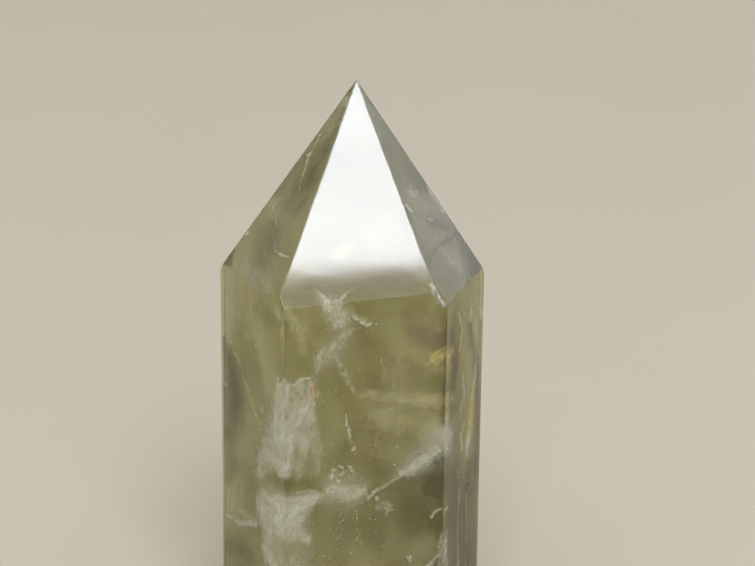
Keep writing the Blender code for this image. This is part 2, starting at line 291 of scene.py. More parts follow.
COMET = (
    (0.75, ((-4.1, -13.0, 61.9, 0.3), (-2.9, -13.0, 59.7, 0.7), (-1.7, -13.0, 57.1, 0.8),
            (-0.6, -13.0, 54.9, 0.5))),
    (1.0, ((-1.7, -13.3, 56.8, 0.12), (-0.8, -13.3, 55.1, 0.22), (-0.3, -13.3, 54.2, 0.14))),
    (0.4, ((-0.8, -13.0, 55.2, 0.5), (0.9, -12.0, 52.3, 0.6), (2.7, -11.0, 50.2, 0.4))),
)
LOWER_CLOUD = (
    (0.8, ((-15.0, -10.7, 34.7, 0.5), (-15.5, -9.9, 32.6, 0.8), (-14.9, -11.0, 30.2, 1.3),
           (-14.1, -12.3, 27.8, 1.6), (-14.4, -11.8, 24.5, 1.3), (-13.8, -12.8, 22.3, 1.2),
           (-12.5, -15.0, 21.0, 1.0))),
    (1.0, ((-12.0, -14.3, 28.9, 1.6), (-11.0, -14.5, 31.2, 1.9), (-9.5, -14.7, 33.3, 1.3),
           (-7.8, -14.9, 35.0, 0.8), (-5.7, -14.9, 36.1, 0.4))),
    (0.9, ((-14.1, -12.3, 31.7, 1.8), (-12.5, -15.0, 30.7, 2.0), (-11.0, -14.1, 28.4, 1.8),
           (-8.6, -14.1, 27.6, 1.0))),
    (0.8, ((-14.4, -11.8, 33.3, 1.2), (-13.1, -14.0, 33.2, 1.6), (-11.9, -13.9, 33.7, 1.6),
           (-9.1, -14.3, 34.9, 1.0), (-6.6, -14.5, 36.2, 0.5))),
    (0.4, ((-11.3, -13.5, 25.6, 2.2), (-9.6, -13.5, 21.3, 2.4), (-11.3, -13.5, 13.5, 2.4))),
)
PALE_SHEETS = (
    (1.0, ((0.5, -13.5, 54.2, 0.5), (4.8, -13.5, 53.6, 1.1), (9.9, -13.5, 52.9, 1.6),
           (14.5, -13.5, 52.6, 1.4))),
    (0.9, ((3.3, -13.1, 50.4, 2.2), (8.1, -13.1, 48.7, 3.2), (12.9, -13.1, 48.2, 2.8))),
    (0.5, ((-4.5, -12.0, 52.9, 1.6), (-3.4, -12.0, 48.2, 1.8), (-4.4, -12.0, 43.5, 1.6))),
    (0.5, ((1.0, -12.9, 45.5, 1.8), (4.7, -12.9, 43.9, 1.8), (7.5, -12.9, 43.8, 1.4))),
    (0.6, ((-11.3, -12.5, 69.2, 0.7), (-9.6, -12.5, 65.9, 1.4), (-8.7, -12.5, 62.3, 1.4))),
    (0.5, ((-16.5, -8.3, 65.1, 1.6), (-14.9, -10.9, 61.7, 2.8), (-14.0, -12.5, 56.1, 2.6),
           (-14.0, -12.4, 50.6, 1.6))),
    (0.6, ((6.4, -12.0, 65.4, 1.8), (10.7, -12.0, 62.6, 2.4), (13.3, -12.0, 65.3, 1.8))),
    (0.5, ((6.3, -13.5, 26.6, 2.2), (11.1, -13.5, 24.9, 2.6), (9.5, -13.5, 16.8, 2.6),
           (0.8, -13.5, 22.9, 2.4))),
)
ROSY_VEIL = (
    (0.8, ((8.8, -13.5, 66.1, 1.2), (11.2, -13.5, 65.0, 2.2), (14.1, -13.5, 63.1, 1.6))),
    (0.5, ((6.3, -13.5, 68.7, 0.8), (10.5, -13.5, 68.3, 0.9), (14.7, -13.5, 67.4, 0.7))),
    (0.5, ((-9.6, -14.3, 72.5, 1.4), (-4.6, -14.3, 73.0, 1.6), (2.1, -14.3, 73.6, 1.6),
           (8.8, -14.2, 74.5, 1.4))),
)
# Painted shadow: dark sheets behind the front face under the healed crack and the veils, as if they shaded
# what lies below them.
FRONT_PAINTED_SHADOW = (
    (1.0, ((14.3, -16.3, 41.8, 1.6), (12.4, -12.0, 38.5, 1.9), (9.0, -12.0, 36.7, 1.9),
           (5.6, -12.0, 34.9, 1.2))),
    (0.9, ((14.0, -16.8, 37.1, 2.4), (11.1, -12.0, 33.6, 2.8), (7.3, -12.0, 31.4, 2.2))),
    (0.5, ((14.0, -11.5, 29.6, 3.0), (7.7, -11.5, 27.4, 3.4), (1.7, -11.5, 27.6, 3.0),
           (-3.5, -11.5, 28.6, 2.4))),
    (0.5, ((1.7, -13.5, 40.0, 0.6), (4.7, -13.5, 39.9, 0.8), (7.8, -13.5, 40.6, 0.6))),
    (0.45, ((2.6, -13.5, 50.5, 0.25), (-0.1, -13.5, 46.8, 0.35), (-2.8, -13.5, 43.2, 0.3))),
    (0.5, ((-12.5, -15.1, 37.9, 0.8), (-10.4, -13.0, 37.6, 0.9), (-6.5, -13.0, 37.9, 0.7))),
)
# Painted shade: dark sheets behind the right face that darken it beyond the stone's own colour.
RIGHT_PAINTED_SHADE = (
    (0.9, ((19.3, -7.0, 36.5, 1.4), (18.8, -7.9, 31.9, 2.6), (18.6, -8.3, 24.8, 3.4),
           (18.7, -8.1, 10.8, 3.6), (18.7, -8.0, 0.8, 3.6))),
    (0.6, ((18.7, -8.4, 63.5, 0.8), (20.3, -5.8, 54.1, 1.2), (20.8, -4.9, 44.3, 1.6),
           (20.8, -4.8, 34.6, 2.2))),
    (0.5, ((15.3, -13.5, 67.3, 1.6), (15.5, -13.1, 48.2, 1.8), (15.7, -12.8, 41.5, 1.4))),
    (0.8, ((16.2, -12.0, 38.2, 2.0), (16.4, -11.6, 28.5, 3.0), (16.8, -10.9, 12.5, 3.2),
           (17.1, -10.5, 2.3, 3.2))),
)
# Painted shade: a darker strip along the right face's outer edge.
RIGHT_EDGE_PAINTED_SHADE = (
    (0.8, ((21.7, -5.6, 62.8, 0.8), (21.8, -5.4, 51.9, 1.4), (21.9, -5.2, 40.4, 2.0),
           (21.8, -5.4, 28.9, 2.4), (21.7, -5.6, 17.2, 2.6), (21.7, -5.6, 1.2, 2.6))),
)
TIP_RIGHT_SMOKE = (
    (1.0, ((11.7, -13.8, 77.1, 0.16), (12.4, -11.7, 78.0, 0.24), (13.8, -9.3, 78.3, 0.28),
           (15.3, -7.2, 78.2, 0.24), (17.2, -4.6, 78.4, 0.14))),
    (0.6, ((9.9, -8.5, 83.2, 0.8), (12.5, -6.8, 81.4, 1.1), (15.1, -5.3, 79.8, 0.9))),
    (0.4, ((8.0, -10.3, 84.5, 0.9), (9.2, -12.2, 81.3, 1.2), (11.1, -14.4, 77.5, 1.2))),
)
BACK_VEILS = (
    (0.55, ((-8.0, 13.0, 20.0, 1.6), (-5.0, 12.4, 30.0, 2.6), (1.0, 12.0, 38.0, 2.4),
            (5.6, 12.6, 47.0, 1.4))),
    (0.45, ((8.4, 11.0, 58.0, 1.0), (4.0, 11.4, 63.0, 2.0), (-2.0, 11.8, 66.0, 1.6),
            (-7.6, 11.4, 70.0, 0.8))),
    (0.40, ((-12.0, 9.0, 44.0, 1.2), (-13.0, 8.6, 52.0, 1.8), (-11.4, 9.4, 60.0, 1.0))),
)
BACK_RIGHT_VEILS = (
    (0.8, ((15.5, 3.2, 78.0, 0.5), (14.5, 4.9, 70.0, 1.2), (13.5, 6.6, 62.0, 1.5), (13.0, 7.5, 52.0, 1.2),
           (12.0, 9.2, 44.0, 0.6))),
    (0.8, ((11.0, 11.0, 35.0, 0.5), (12.5, 8.4, 30.0, 1.5), (14.5, 4.9, 27.0, 0.8))),
    (0.7, ((16.0, 2.3, 20.0, 0.2), (13.0, 7.5, 22.0, 0.25), (11.5, 10.1, 24.0, 0.2))),
)
BACK_LEFT_VEILS = (
    (0.8, ((-12.0, 9.2, 70.0, 0.6), (-13.0, 7.5, 64.0, 1.4), (-14.5, 4.9, 58.0, 1.6),
           (-15.5, 3.2, 50.0, 0.8))),
    (0.7, ((-15.5, 3.2, 36.0, 0.4), (-13.5, 6.6, 30.0, 1.4), (-12.0, 9.2, 22.0, 1.0))),
)
CHIP_GRAINS = (
    (1.0, ((12.1, -17.3, 74.7, 0.35), (12.6, -17.8, 73.7, 0.6), (13.2, -17.9, 72.8, 0.5))),
    (1.0, ((13.5, -17.9, 72.3, 0.45), (14.3, -18.0, 71.3, 0.45))),
    (0.9, ((12.9, -18.1, 71.9, 0.3), (13.2, -18.1, 71.7, 0.25))),
    (0.8, ((21.6, -5.4, 64.8, 0.3), (21.7, -5.4, 63.6, 0.3))),
)
DUST_FRONT = ((0.0, -14.5, 4.0, 11.0), (0.0, -14.5, 40.0, 11.0), (0.0, -14.5, 68.0, 11.0))
DUST_LEFT = ((-16.5, -8.0, 4.0, 7.0), (-16.5, -8.0, 40.0, 7.0), (-16.5, -8.0, 68.0, 7.0))
DUST_RIGHT = ((18.0, -8.0, 4.0, 7.0), (18.0, -8.0, 40.0, 7.0), (18.0, -8.0, 68.0, 7.0))
GOLD_CLOUD = (
    (0.8, ((12.2, -14.2, 59.9, 0.6), (13.3, -14.2, 60.8, 1.1), (14.6, -14.2, 61.8, 0.9))),
    (0.4, ((9.0, -14.2, 62.4, 0.8), (11.0, -14.2, 61.0, 1.4), (13.6, -14.2, 58.8, 1.2))),
    (0.35, ((2.0, -11.0, 61.6, 1.0), (3.6, -11.0, 59.0, 1.6), (4.6, -11.0, 56.4, 1.2))),
)
GLINT = (
    (1.0, ((-7.4, -15.6, 56.9, 0.1), (-7.5, -15.6, 56.0, 0.3), (-7.4, -15.6, 54.9, 0.25),
           (-7.3, -15.6, 54.2, 0.1))),
)


# ---------------------------------------------------------------------------------------------
# Settings
# ---------------------------------------------------------------------------------------------

def srgb(code):
    """Linear red, green, blue and alpha of an sRGB hex colour."""
    channels = [int(code[i:i + 2], 16) / 255 for i in (1, 3, 5)]
    return tuple(c / 12.92 if c <= 0.04045 else ((c + 0.055) / 1.055) ** 2.4 for c in channels) + (1.0,)


def colour(name, description, code):
    """A colour setting that starts from an sRGB hex value."""
    return FloatVectorProperty(name=name, description=description, default=srgb(code), size=4,
                               subtype="COLOR", min=0.0, max=1.0)


def metres(name, description, start, least=0.0):
    """A length setting, in metres."""
    return FloatProperty(name=name, description=description, default=start, min=least, unit="LENGTH")


def degrees(name, description, start):
    """An angle setting that starts from a value in degrees."""
    return FloatProperty(name=name, description=description, default=math.radians(start), subtype="ANGLE")


def fraction(name, description, start):
    """A setting from 0 to 1."""
    return FloatProperty(name=name, description=description, default=start, min=0.0, max=1.0,
                         subtype="FACTOR")


def amount(name, description, start):
    """A setting that is never negative."""
    return FloatProperty(name=name, description=description, default=start, min=0.0)


class CITRINE_PG_stone(bpy.types.PropertyGroup):
    """What the polished quartz is like."""
    tint: colour("Tint", "Colour that light keeps on its way through the stone", "#cecb78")
    tint_depth: amount("Tint depth", "How strongly the stone colours light, per metre", 36.0)
    ior: FloatProperty(name="IOR", description="Refractive index of quartz", default=1.544, min=1.0, max=2.5)
    polish: fraction("Polish", "Roughness of the lapped faces", 0.045)
    frost: fraction("Frost", "Roughness of the ground foot and of the chips", 0.5)
    edge_wear: metres("Edge wear", "Width of the worn line along the edges", 0.11 * MM, 0.05 * MM)


class CITRINE_PG_inside(bpy.types.PropertyGroup):
    """What lies inside the stone."""
    veil: colour("Veil", "Colour of the milky healed cracks", "#fbfaf2")
    haze: colour("Haze", "Colour of the thin clouds all through the stone", "#f0ecc8")
    olive: colour("Olive", "Colour of the duller patches of the thin clouds", "#d5ce88")
    gold: colour("Gold", "Colour that light keeps in the iron-stained zones", "#c8a83c")
    silk: colour("Silk", "Colour of the silky crack on the right", "#f0e590")
    amber: colour("Amber", "Colour of the iron-stained clouds", "#f7efb4")
    # Also the colour of the painted shade at the left and at the front.
    smoke: colour("Smoke", "Colour that light keeps in the smoky zones", "#6c6740")
    rosy: colour("Rosy", "Colour of the rosy grey veil behind the front face", "#b0a28e")
    # Colour of the painted shade on the right face and along its edge.
    painted_shade_brown: colour("Brown", "Colour that light keeps in the dark corner on the right", "#665630")
    fracture: colour("Fracture", "Colour of the crushed bright flecks", "#fbfaf2")
    haze_strength: fraction("Haze strength", "Cover of one haze layer at its thickest", 0.34)
    veil_strength: fraction("Veil strength", "Cover of one veil layer at its thickest", 0.70)
    layer_gap: metres("Layer gap", "Distance between a veil's layers", 0.55 * MM)
    fleck_size: metres("Fleck size", "Length of an ordinary bright fleck", 0.5 * MM)
    seed: IntProperty(name="Seed", description="Starting number of everything scattered", default=7, min=0)


class CITRINE_PG_stage(bpy.types.PropertyGroup):
    """The pale studio and its camera."""
    floor: colour("Floor", "Colour of the pale floor", "#a9a18f")
    backdrop: colour("Backdrop", "Colour of the light all round", "#dddddd")
    backdrop_strength: amount("Backdrop strength", "Brightness of the light all round", 0.77)
    glow_strength: amount("Glow", "Extra brightness of the light from above the front", 1.05)
    glow_bearing: degrees("Glow bearing", "Turn of the glow from the front", -10.0)
    glow_elevation: degrees("Glow elevation", "Height angle of the glow", 62.0)
    fill: colour("Fill", "Colour of the cool fill lights on both sides", "#aebdf2")
    fill_radiance: amount("Fill radiance", "Brightness of the right fill light's face", 1.5)
    fill_balance: amount("Fill balance", "Left fill light's brightness as a share of the right one's", 0.15)
    fill_bearing: degrees("Fill bearing", "Turn of the fill lights from the front, to either side", 114.0)
    fill_elevation: degrees("Fill elevation", "Height angle of the fill lights", 16.0)
    key: colour("Key", "Colour of the softbox", "#eff4ff")
    key_radiance: amount("Key radiance", "Brightness of the softbox's face", 17.6)
    key_width: metres("Key width", "Width of the softbox", 0.75)
    key_height: metres("Key height", "Height of the softbox", 0.52)
    key_distance: metres("Key distance", "Distance of the softbox from the stone", 1.5)
    key_bearing: degrees("Key bearing", "Turn of the softbox from the front", 1.5)
    key_elevation: degrees("Key elevation", "Height angle of the softbox", 47.05)
    camera_bearing: degrees("Camera bearing", "Turn of the camera from the front", -4.906)
    camera_elevation: degrees("Camera elevation", "Height angle of the camera", 22.0)
    camera_roll: degrees("Camera roll", "Roll of the camera about its own axis", 0.619)
    camera_distance: metres("Camera distance", "Distance of the camera from its aim", 0.5151)
    camera_lens: amount("Lens", "Focal length on a 36 mm wide sensor, in mm", 142.87)
    aim_right: metres("Aim right", "Aim point's distance to the right of the tip", 3.89 * MM)
    aim_height: metres("Aim height", "Height of the aim point", 68.125 * MM)


# ---------------------------------------------------------------------------------------------
# Making materials
# ---------------------------------------------------------------------------------------------

def add_node(tree, kind, given=None):
    """Adds a node. given holds its options and what its sockets get: a value, or a socket to link."""
    node = tree.nodes.new(kind)
    for key, value in (given or {}).items():
        if isinstance(value, bpy.types.NodeSocket):
            tree.links.new(value, node.inputs[key])
        elif isinstance(key, str) and hasattr(node, key):
            setattr(node, key, value)
        else:
            node.inputs[key].default_value = value
    return node


def new_material(name):
    """An empty node material with its output node."""
    material = bpy.data.materials.new(name)
    material.use_nodes = True
    tree = material.node_tree
    tree.nodes.clear()
    return material, tree, add_node(tree, "ShaderNodeOutputMaterial")


def position_mm(tree, stretch=(1.0, 1.0, 1.0), shift=0.0):
    """The place in the stone in mm, squeezed along each axis by stretch and moved by shift."""
    where = add_node(tree, "ShaderNodeTexCoord")
    return add_node(tree, "ShaderNodeMapping",
                    {"Scale": [s / MM for s in stretch], "Location": (shift, 1.7 * shift, 0.3 * shift),
                     "Vector": where.outputs["Object"]}).outputs["Vector"]


def show_where(tree, out, alpha, shader):
    """Gives a material its shader where alpha is 1 and leaves it clear where alpha is 0."""
    clear = add_node(tree, "ShaderNodeBsdfTransparent")
    mix = add_node(tree, "ShaderNodeMixShader", {0: alpha, 1: clear.outputs[0], 2: shader.outputs[0]})
    tree.links.new(mix.outputs[0], out.inputs["Surface"])


def milky_material(name, tint, strength, grain_mm, cover, stretch=(1.0, 1.0, 1.0), seed=0.0,
                   speck_mm=0.0, glow=0.45, detail=4.0, other=None, patch_mm=12.0):
    """Healed crack: a skin of tiny fluid pockets in clear quartz. It scatters light both ways and is
    clear between the pockets, so the eye sees milky clouds with ragged, curdled edges.
    cover is the noise range over which the cloud goes from clear to full. With a second tint, other,
    the colour drifts between the two in patches."""
    material, tree, out = new_material(name)
    place = position_mm(tree, stretch, seed)
    clouds = add_node(tree, "ShaderNodeTexNoise",
                      {"Scale": 1.0 / grain_mm, "Detail": detail, "Roughness": 0.52, "Distortion": 0.3,
                       "Vector": place})
    thick = add_node(tree, "ShaderNodeAttribute", {"attribute_name": "thickness"}).outputs["Fac"]
    fuller = add_node(tree, "ShaderNodeMath",
                      {"operation": "MULTIPLY_ADD", 0: thick, 1: 0.25,
                       2: clouds.outputs["Fac"]}).outputs["Value"]
    curds = add_node(tree, "ShaderNodeMapRange",
                     {"interpolation_type": "SMOOTHSTEP", "From Min": cover[0] + 0.15,
                      "From Max": cover[1] + 0.2, "Value": fuller}).outputs["Result"]
    if speck_mm:                    # single pockets big enough to see
        cells = add_node(tree, "ShaderNodeTexVoronoi",
                         {"Scale": 1.0 / speck_mm, "Randomness": 1.0, "Vector": place})
        specks = add_node(tree, "ShaderNodeMapRange",
                          {"interpolation_type": "SMOOTHSTEP", "From Min": 0.42, "From Max": 0.12,
                           "Value": cells.outputs["Distance"]}).outputs["Result"]
        curds = add_node(tree, "ShaderNodeMath",
                         {"operation": "MAXIMUM", 0: curds, 1: specks}).outputs["Value"]
    body = add_node(tree, "ShaderNodeMath", {"operation": "MULTIPLY", 0: curds, 1: thick}).outputs["Value"]
    alpha = add_node(tree, "ShaderNodeMath", {"operation": "MULTIPLY", 0: body, 1: strength}).outputs["Value"]
    facing = add_node(tree, "ShaderNodeBsdfDiffuse", {"Color": tint})
    through = add_node(tree, "ShaderNodeBsdfTranslucent", {"Color": tint})
    if other:
        patches = add_node(tree, "ShaderNodeTexNoise",
                           {"Scale": 1.0 / patch_mm, "Detail": 2.0, "Roughness": 0.5,
                            "Vector": position_mm(tree, shift=seed + 40.0)})
        drift = add_node(tree, "ShaderNodeMapRange",
                         {"interpolation_type": "SMOOTHSTEP", "From Min": 0.36, "From Max": 0.64,
                          "Value": patches.outputs["Fac"]})
        hue = add_node(tree, "ShaderNodeMix",
                       {"data_type": "RGBA", "A": tint, "B": other,
                        "Factor": drift.outputs["Result"]}).outputs["Result"]
        tree.links.new(hue, facing.inputs["Color"])
        tree.links.new(hue, through.inputs["Color"])
    scatter = add_node(tree, "ShaderNodeMixShader", {0: glow, 1: facing.outputs[0], 2: through.outputs[0]})
    show_where(tree, out, alpha, scatter)
    return material


def darkening_sheet_material(name, tint, strength, grain_mm, seed=0.0, least=0.45):
    """Darkening sheet: it soaks up light but does not scatter it, so it only darkens what is seen through it,
    in soft streaks along the growth direction. In the tip it is smoky quartz, whose colour centres soak up
    light; in the gold zones it is iron stain; at the left, the front and the right it is painted shade."""
    material, tree, out = new_material(name)
    place = position_mm(tree, (1.0, 1.0, 0.3), shift=seed)
    streaks = add_node(tree, "ShaderNodeTexNoise",
                       {"Scale": 1.0 / grain_mm, "Detail": 4.0, "Roughness": 0.55, "Vector": place})
    soft = add_node(tree, "ShaderNodeMapRange",
                    {"interpolation_type": "SMOOTHSTEP", "From Min": 0.2, "From Max": 0.6, "To Min": least,
                     "Value": streaks.outputs["Fac"]}).outputs["Result"]
    thick = add_node(tree, "ShaderNodeAttribute", {"attribute_name": "thickness"}).outputs["Fac"]
    body = add_node(tree, "ShaderNodeMath", {"operation": "MULTIPLY", 0: soft, 1: thick}).outputs["Value"]
    alpha = add_node(tree, "ShaderNodeMath", {"operation": "MULTIPLY", 0: body, 1: strength}).outputs["Value"]
    show_where(tree, out, alpha, add_node(tree, "ShaderNodeBsdfTransparent", {"Color": tint}))
    return material


def bright_fracture_material(name, tint):
    """Crushed spots of a crack: tiny mirrors of air in quartz, white and glinting from any side."""
    material, tree, out = new_material(name)
    place = position_mm(tree)
    crush = add_node(tree, "ShaderNodeTexNoise", {"Scale": 4.0, "Detail": 3.0, "Vector": place})
    shade = add_node(tree, "ShaderNodeMix",
                     {"data_type": "RGBA", "A": [0.62 * c for c in tint[:3]] + [1.0], "B": tint,
                      "Factor": crush.outputs["Fac"]})
    skin = add_node(tree, "ShaderNodeBsdfPrincipled",
                    {"Roughness": 0.3, "IOR": 1.544, "Base Color": shade.outputs["Result"]})
    tree.links.new(skin.outputs[0], out.inputs["Surface"])
    return material


def glint_material(name):
    """Painted iridescent glint: the colours that a film of air thinner than a wavelength throws back on a
    crack are painted into a plain diffuse colour, running from rose through orange to yellow as the film gets
    thicker downwards."""
    material, tree, out = new_material(name)
    height = add_node(tree, "ShaderNodeSeparateXYZ", {"Vector": position_mm(tree)}).outputs["Z"]
    heights = [z for _, points in GLINT for _, _, z, _ in points]
    share = add_node(tree, "ShaderNodeMapRange",
                     {"From Min": min(heights), "From Max": max(heights), "Value": height}).outputs["Result"]
    film = add_node(tree, "ShaderNodeValToRGB", {"Fac": share})
    stops = film.color_ramp.elements
    # Painted glint colours: yellow at the foot, orange in the middle, rose at the top.
    stops[0].color, stops[1].color = srgb("#e8dc90"), srgb("#dca6b0")
    stops.new(0.5).color = srgb("#e4ae86")
    thick = add_node(tree, "ShaderNodeAttribute", {"attribute_name": "thickness"}).outputs["Fac"]
    show_where(tree, out, thick, add_node(tree, "ShaderNodeBsdfDiffuse", {"Color": film.outputs["Color"]}))
    return material


def polished_citrine_material(settings, planes):
    """Citrine: quartz tinted by iron, ground flat on a lap and polished. It is water clear with a bright
    sharp mirror on each face. A trace of lap waviness makes the mirrored edges swim, the edges are worn
    to a hair-thin pale line, and the sawn foot and the chipped corners are frosted."""
    material, tree, out = new_material("lap_polished_citrine")
    place = position_mm(tree)
    waves = add_node(tree, "ShaderNodeTexNoise",
                     {"Scale": 1.0 / 7.0, "Detail": 2.0, "Roughness": 0.5, "Vector": place})
    polish_waves = add_node(tree, "ShaderNodeBump",
                            {"Strength": 1.0, "Distance": POLISH_WAVE, "Height": waves.outputs["Fac"]})
    height = add_node(tree, "ShaderNodeSeparateXYZ", {"Vector": place}).outputs["Z"]
    sawn = add_node(tree, "ShaderNodeMapRange",
                    {"From Min": 0.35, "From Max": 0.1, "Value": height}).outputs["Result"]
    nearest = met = None            # how far under the closest face, and how many faces are close
    for normal, distance in planes:
        reach = add_node(tree, "ShaderNodeVectorMath",
                         {"operation": "DOT_PRODUCT", 0: place, 1: normal}).outputs["Value"]
        under = add_node(tree, "ShaderNodeMath",
                         {"operation": "SUBTRACT", 0: reach, 1: distance / MM}).outputs["Value"]
        close = add_node(tree, "ShaderNodeMapRange",
                         {"From Min": -settings.edge_wear / MM, "From Max": -0.02,
                          "Value": under}).outputs["Result"]
        if nearest is None:
            nearest, met = under, close
            continue
        nearest = add_node(tree, "ShaderNodeMath",
                           {"operation": "MAXIMUM", 0: nearest, 1: under}).outputs["Value"]
        met = add_node(tree, "ShaderNodeMath", {"operation": "ADD", 0: met, 1: close}).outputs["Value"]
    chipped = add_node(tree, "ShaderNodeMapRange", {"From Min": -0.015, "From Max": -0.05, "Value": nearest})
    frosted = add_node(tree, "ShaderNodeMath",
                       {"operation": "MAXIMUM", 0: sawn, 1: chipped.outputs["Result"]}).outputs["Value"]
    rubs = add_node(tree, "ShaderNodeTexNoise",
                    {"Scale": 0.8, "Detail": 3.0, "Roughness": 0.6, "Vector": place})
    worn = add_node(tree, "ShaderNodeMapRange",
                    {"From Min": 1.1, "From Max": 1.7, "Value": met}).outputs["Result"]
    streaky = add_node(tree, "ShaderNodeMapRange",
                       {"From Min": 0.4, "From Max": 0.75, "To Max": 0.45,
                        "Value": rubs.outputs["Fac"]}).outputs["Result"]
    rubbed = add_node(tree, "ShaderNodeMath", {"operation": "MULTIPLY", 0: worn, 1: streaky}).outputs["Value"]
    dull = add_node(tree, "ShaderNodeMath", {"operation": "MAXIMUM", 0: frosted, 1: rubbed}).outputs["Value"]
    grit = add_node(tree, "ShaderNodeTexNoise",
                    {"Scale": 2.5, "Detail": 4.0, "Roughness": 0.7, "Vector": place})
    grit_depth = add_node(tree, "ShaderNodeMath",
                          {"operation": "MULTIPLY", 0: grit.outputs["Fac"], 1: frosted})
    surface = add_node(tree, "ShaderNodeBump",
                       {"Strength": 0.7, "Distance": GRIT, "Height": grit_depth.outputs["Value"],
                        "Normal": polish_waves.outputs["Normal"]})
    roughness = add_node(tree, "ShaderNodeMapRange",
                         {"To Min": settings.polish, "To Max": settings.frost,
                          "Value": dull}).outputs["Result"]
    glass = add_node(tree, "ShaderNodeBsdfPrincipled",
                     {"Base Color": (1.0, 1.0, 1.0, 1.0), "IOR": settings.ior, "Transmission Weight": 1.0,
                      "Roughness": roughness, "Normal": surface.outputs["Normal"]})
    tint = add_node(tree, "ShaderNodeVolumeAbsorption",
                    {"Color": settings.tint, "Density": settings.tint_depth})
    tree.links.new(glass.outputs[0], out.inputs["Surface"])
    tree.links.new(tint.outputs[0], out.inputs["Volume"])
    return material


# ---------------------------------------------------------------------------------------------
# Making sheets inside the stone
# ---------------------------------------------------------------------------------------------

def stone_planes():
    """The stone's large flat faces: (outward normal, distance from the origin in metres)."""
    mesh = frame["nodes"][STONE].data
    faces = {}
    for face in mesh.polygons:
        key = tuple(round(c, 2) for c in face.normal)
        area, distance, normal = faces.get(key, (0.0, 0.0, Vector()))
        faces[key] = (area + face.area, distance + face.normal.dot(face.center) * face.area,
                      normal + face.normal * face.area)
    least = LARGE_FACE_MM2 * MM * MM
    return [(normal.normalized(), distance / area)
            for area, distance, normal in faces.values() if area > least]


def sheet_axes(bearing, slope=90.0):
    """A sheet's axes along, up and out, as rows. bearing is where it faces in degrees from the front
    towards +X, slope its steepness in degrees."""
    turn, lean = math.radians(bearing), math.radians(slope)
    out = Vector((math.sin(turn) * math.sin(lean), -math.cos(turn) * math.sin(lean), math.cos(lean)))
    along = Vector((math.cos(turn), math.sin(turn), 0.0))
    return np.array([along, out.cross(along), out])


def wander(points, size, seed):
    """Smooth random offsets between -1 and 1 in three directions, changing over size mm."""
    noise.seed_set(WANDER_SEED)     # or each run of Blender would draw other offsets
    shift = Vector((seed, 0.37 * seed, -seed))
    return np.array([noise.noise_vector(Vector(p) / size + shift) for p in points])


def smooth(value):
    """An even rise from 0 to 1 that starts and ends level."""
    value = np.clip(value, 0.0, 1.0)
    return value * value * (3.0 - 2.0 * value)


def follow_strokes(spots, strokes, axes, soft=0.0):
    """Density and depth at each spot (along, up): how thick the strokes are there and how deep they lie.
    soft goes from 0, a full core with a short fade, to 1, a wide fade from the middle line."""
    density, depth, weight = np.zeros(len(spots)), np.zeros(len(spots)), np.zeros(len(spots))
    for strength, points in strokes:
        points = np.array(points)
        line = points[:, :3] @ axes.T
        for (a, ra), (b, rb) in zip(zip(line[:-1], points[:-1, 3]), zip(line[1:], points[1:, 3])):
            run = (b - a)[:2]
            share = np.clip((spots - a[:2]) @ run / max(run @ run, 1e-9), 0.0, 1.0)
            near = a[:2] + share[:, None] * run
            gap = np.linalg.norm(spots - near, axis=1)
            half = (ra + share * (rb - ra)) * (1.35 + 0.6 * soft)
            density = np.maximum(density, strength * smooth((1.35 - 0.35 * soft) * (1.0 - gap / half)))
            pull = 1.0 / (gap + 0.6) ** 3
            depth += pull * (a[2] + share * (b[2] - a[2]))
            weight += pull
    return density, depth / weight


def sheet_mesh(name, strokes, facing=(0.0, 90.0), step=0.45, layers=3, gap=0.55, ragged=0.7, ripple=0.5,
               ripple_size=4.0, lift=0.0, seed=0.0, soft=0.0):
    """Rippled layers that follow the strokes, with their thickness as the float attribute thickness."""
    axes = sheet_axes(*facing)
    ends = np.concatenate([np.column_stack([(np.array(p)[:, :3] @ axes.T)[:, :2], np.array(p)[:, 3]])
                           for _, p in strokes])
    low = (ends[:, :2] - ends[:, 2:] * (1.5 + 0.6 * soft) - ragged).min(0)
    high = (ends[:, :2] + ends[:, 2:] * (1.5 + 0.6 * soft) + ragged).max(0)
    columns, rows = (int(n) + 2 for n in (high - low) / step)
    grid = np.array([(low[0] + i * step, low[1] + j * step) for j in range(rows) for i in range(columns)])
    verts, faces, thickness = [], [], []
    for layer in range(layers):
        here = seed + 5.3 * layer
        flat = np.column_stack([grid, np.full(len(grid), 2.0 * layer)])
        shake = wander(flat, 2.6, here)[:, :2] * ragged + wander(flat, 0.9, here + 3.1)[:, :2] * ragged * 0.35
        density, depth = follow_strokes(grid + shake, strokes, axes, soft)
        swell = wander(flat, ripple_size, here * 0.2 + 11.0)[:, 2] * ripple
        out = depth + swell + lift + (layer - (layers - 1) / 2) * gap
        solid = np.column_stack([grid, out]) @ axes
        kept = {}
        for row in range(rows - 1):
            for column in range(columns - 1):
                a = row * columns + column
                corners = (a, a + 1, a + columns + 1, a + columns)
                if density[list(corners)].max() > LEAST_DENSITY:
                    face = []
                    for corner in corners:
                        if corner not in kept:
                            kept[corner] = len(verts)
                            verts.append(solid[corner] * MM)
                            thickness.append(density[corner])
                        face.append(kept[corner])
                    faces.append(face)
    mesh = bpy.data.meshes.new(name)
    mesh.from_pydata([tuple(v) for v in verts], [], faces)
    mesh.attributes.new("thickness", "FLOAT", "POINT").data.foreach_set("value",
                                                                        np.array(thickness, np.float32))
    return mesh


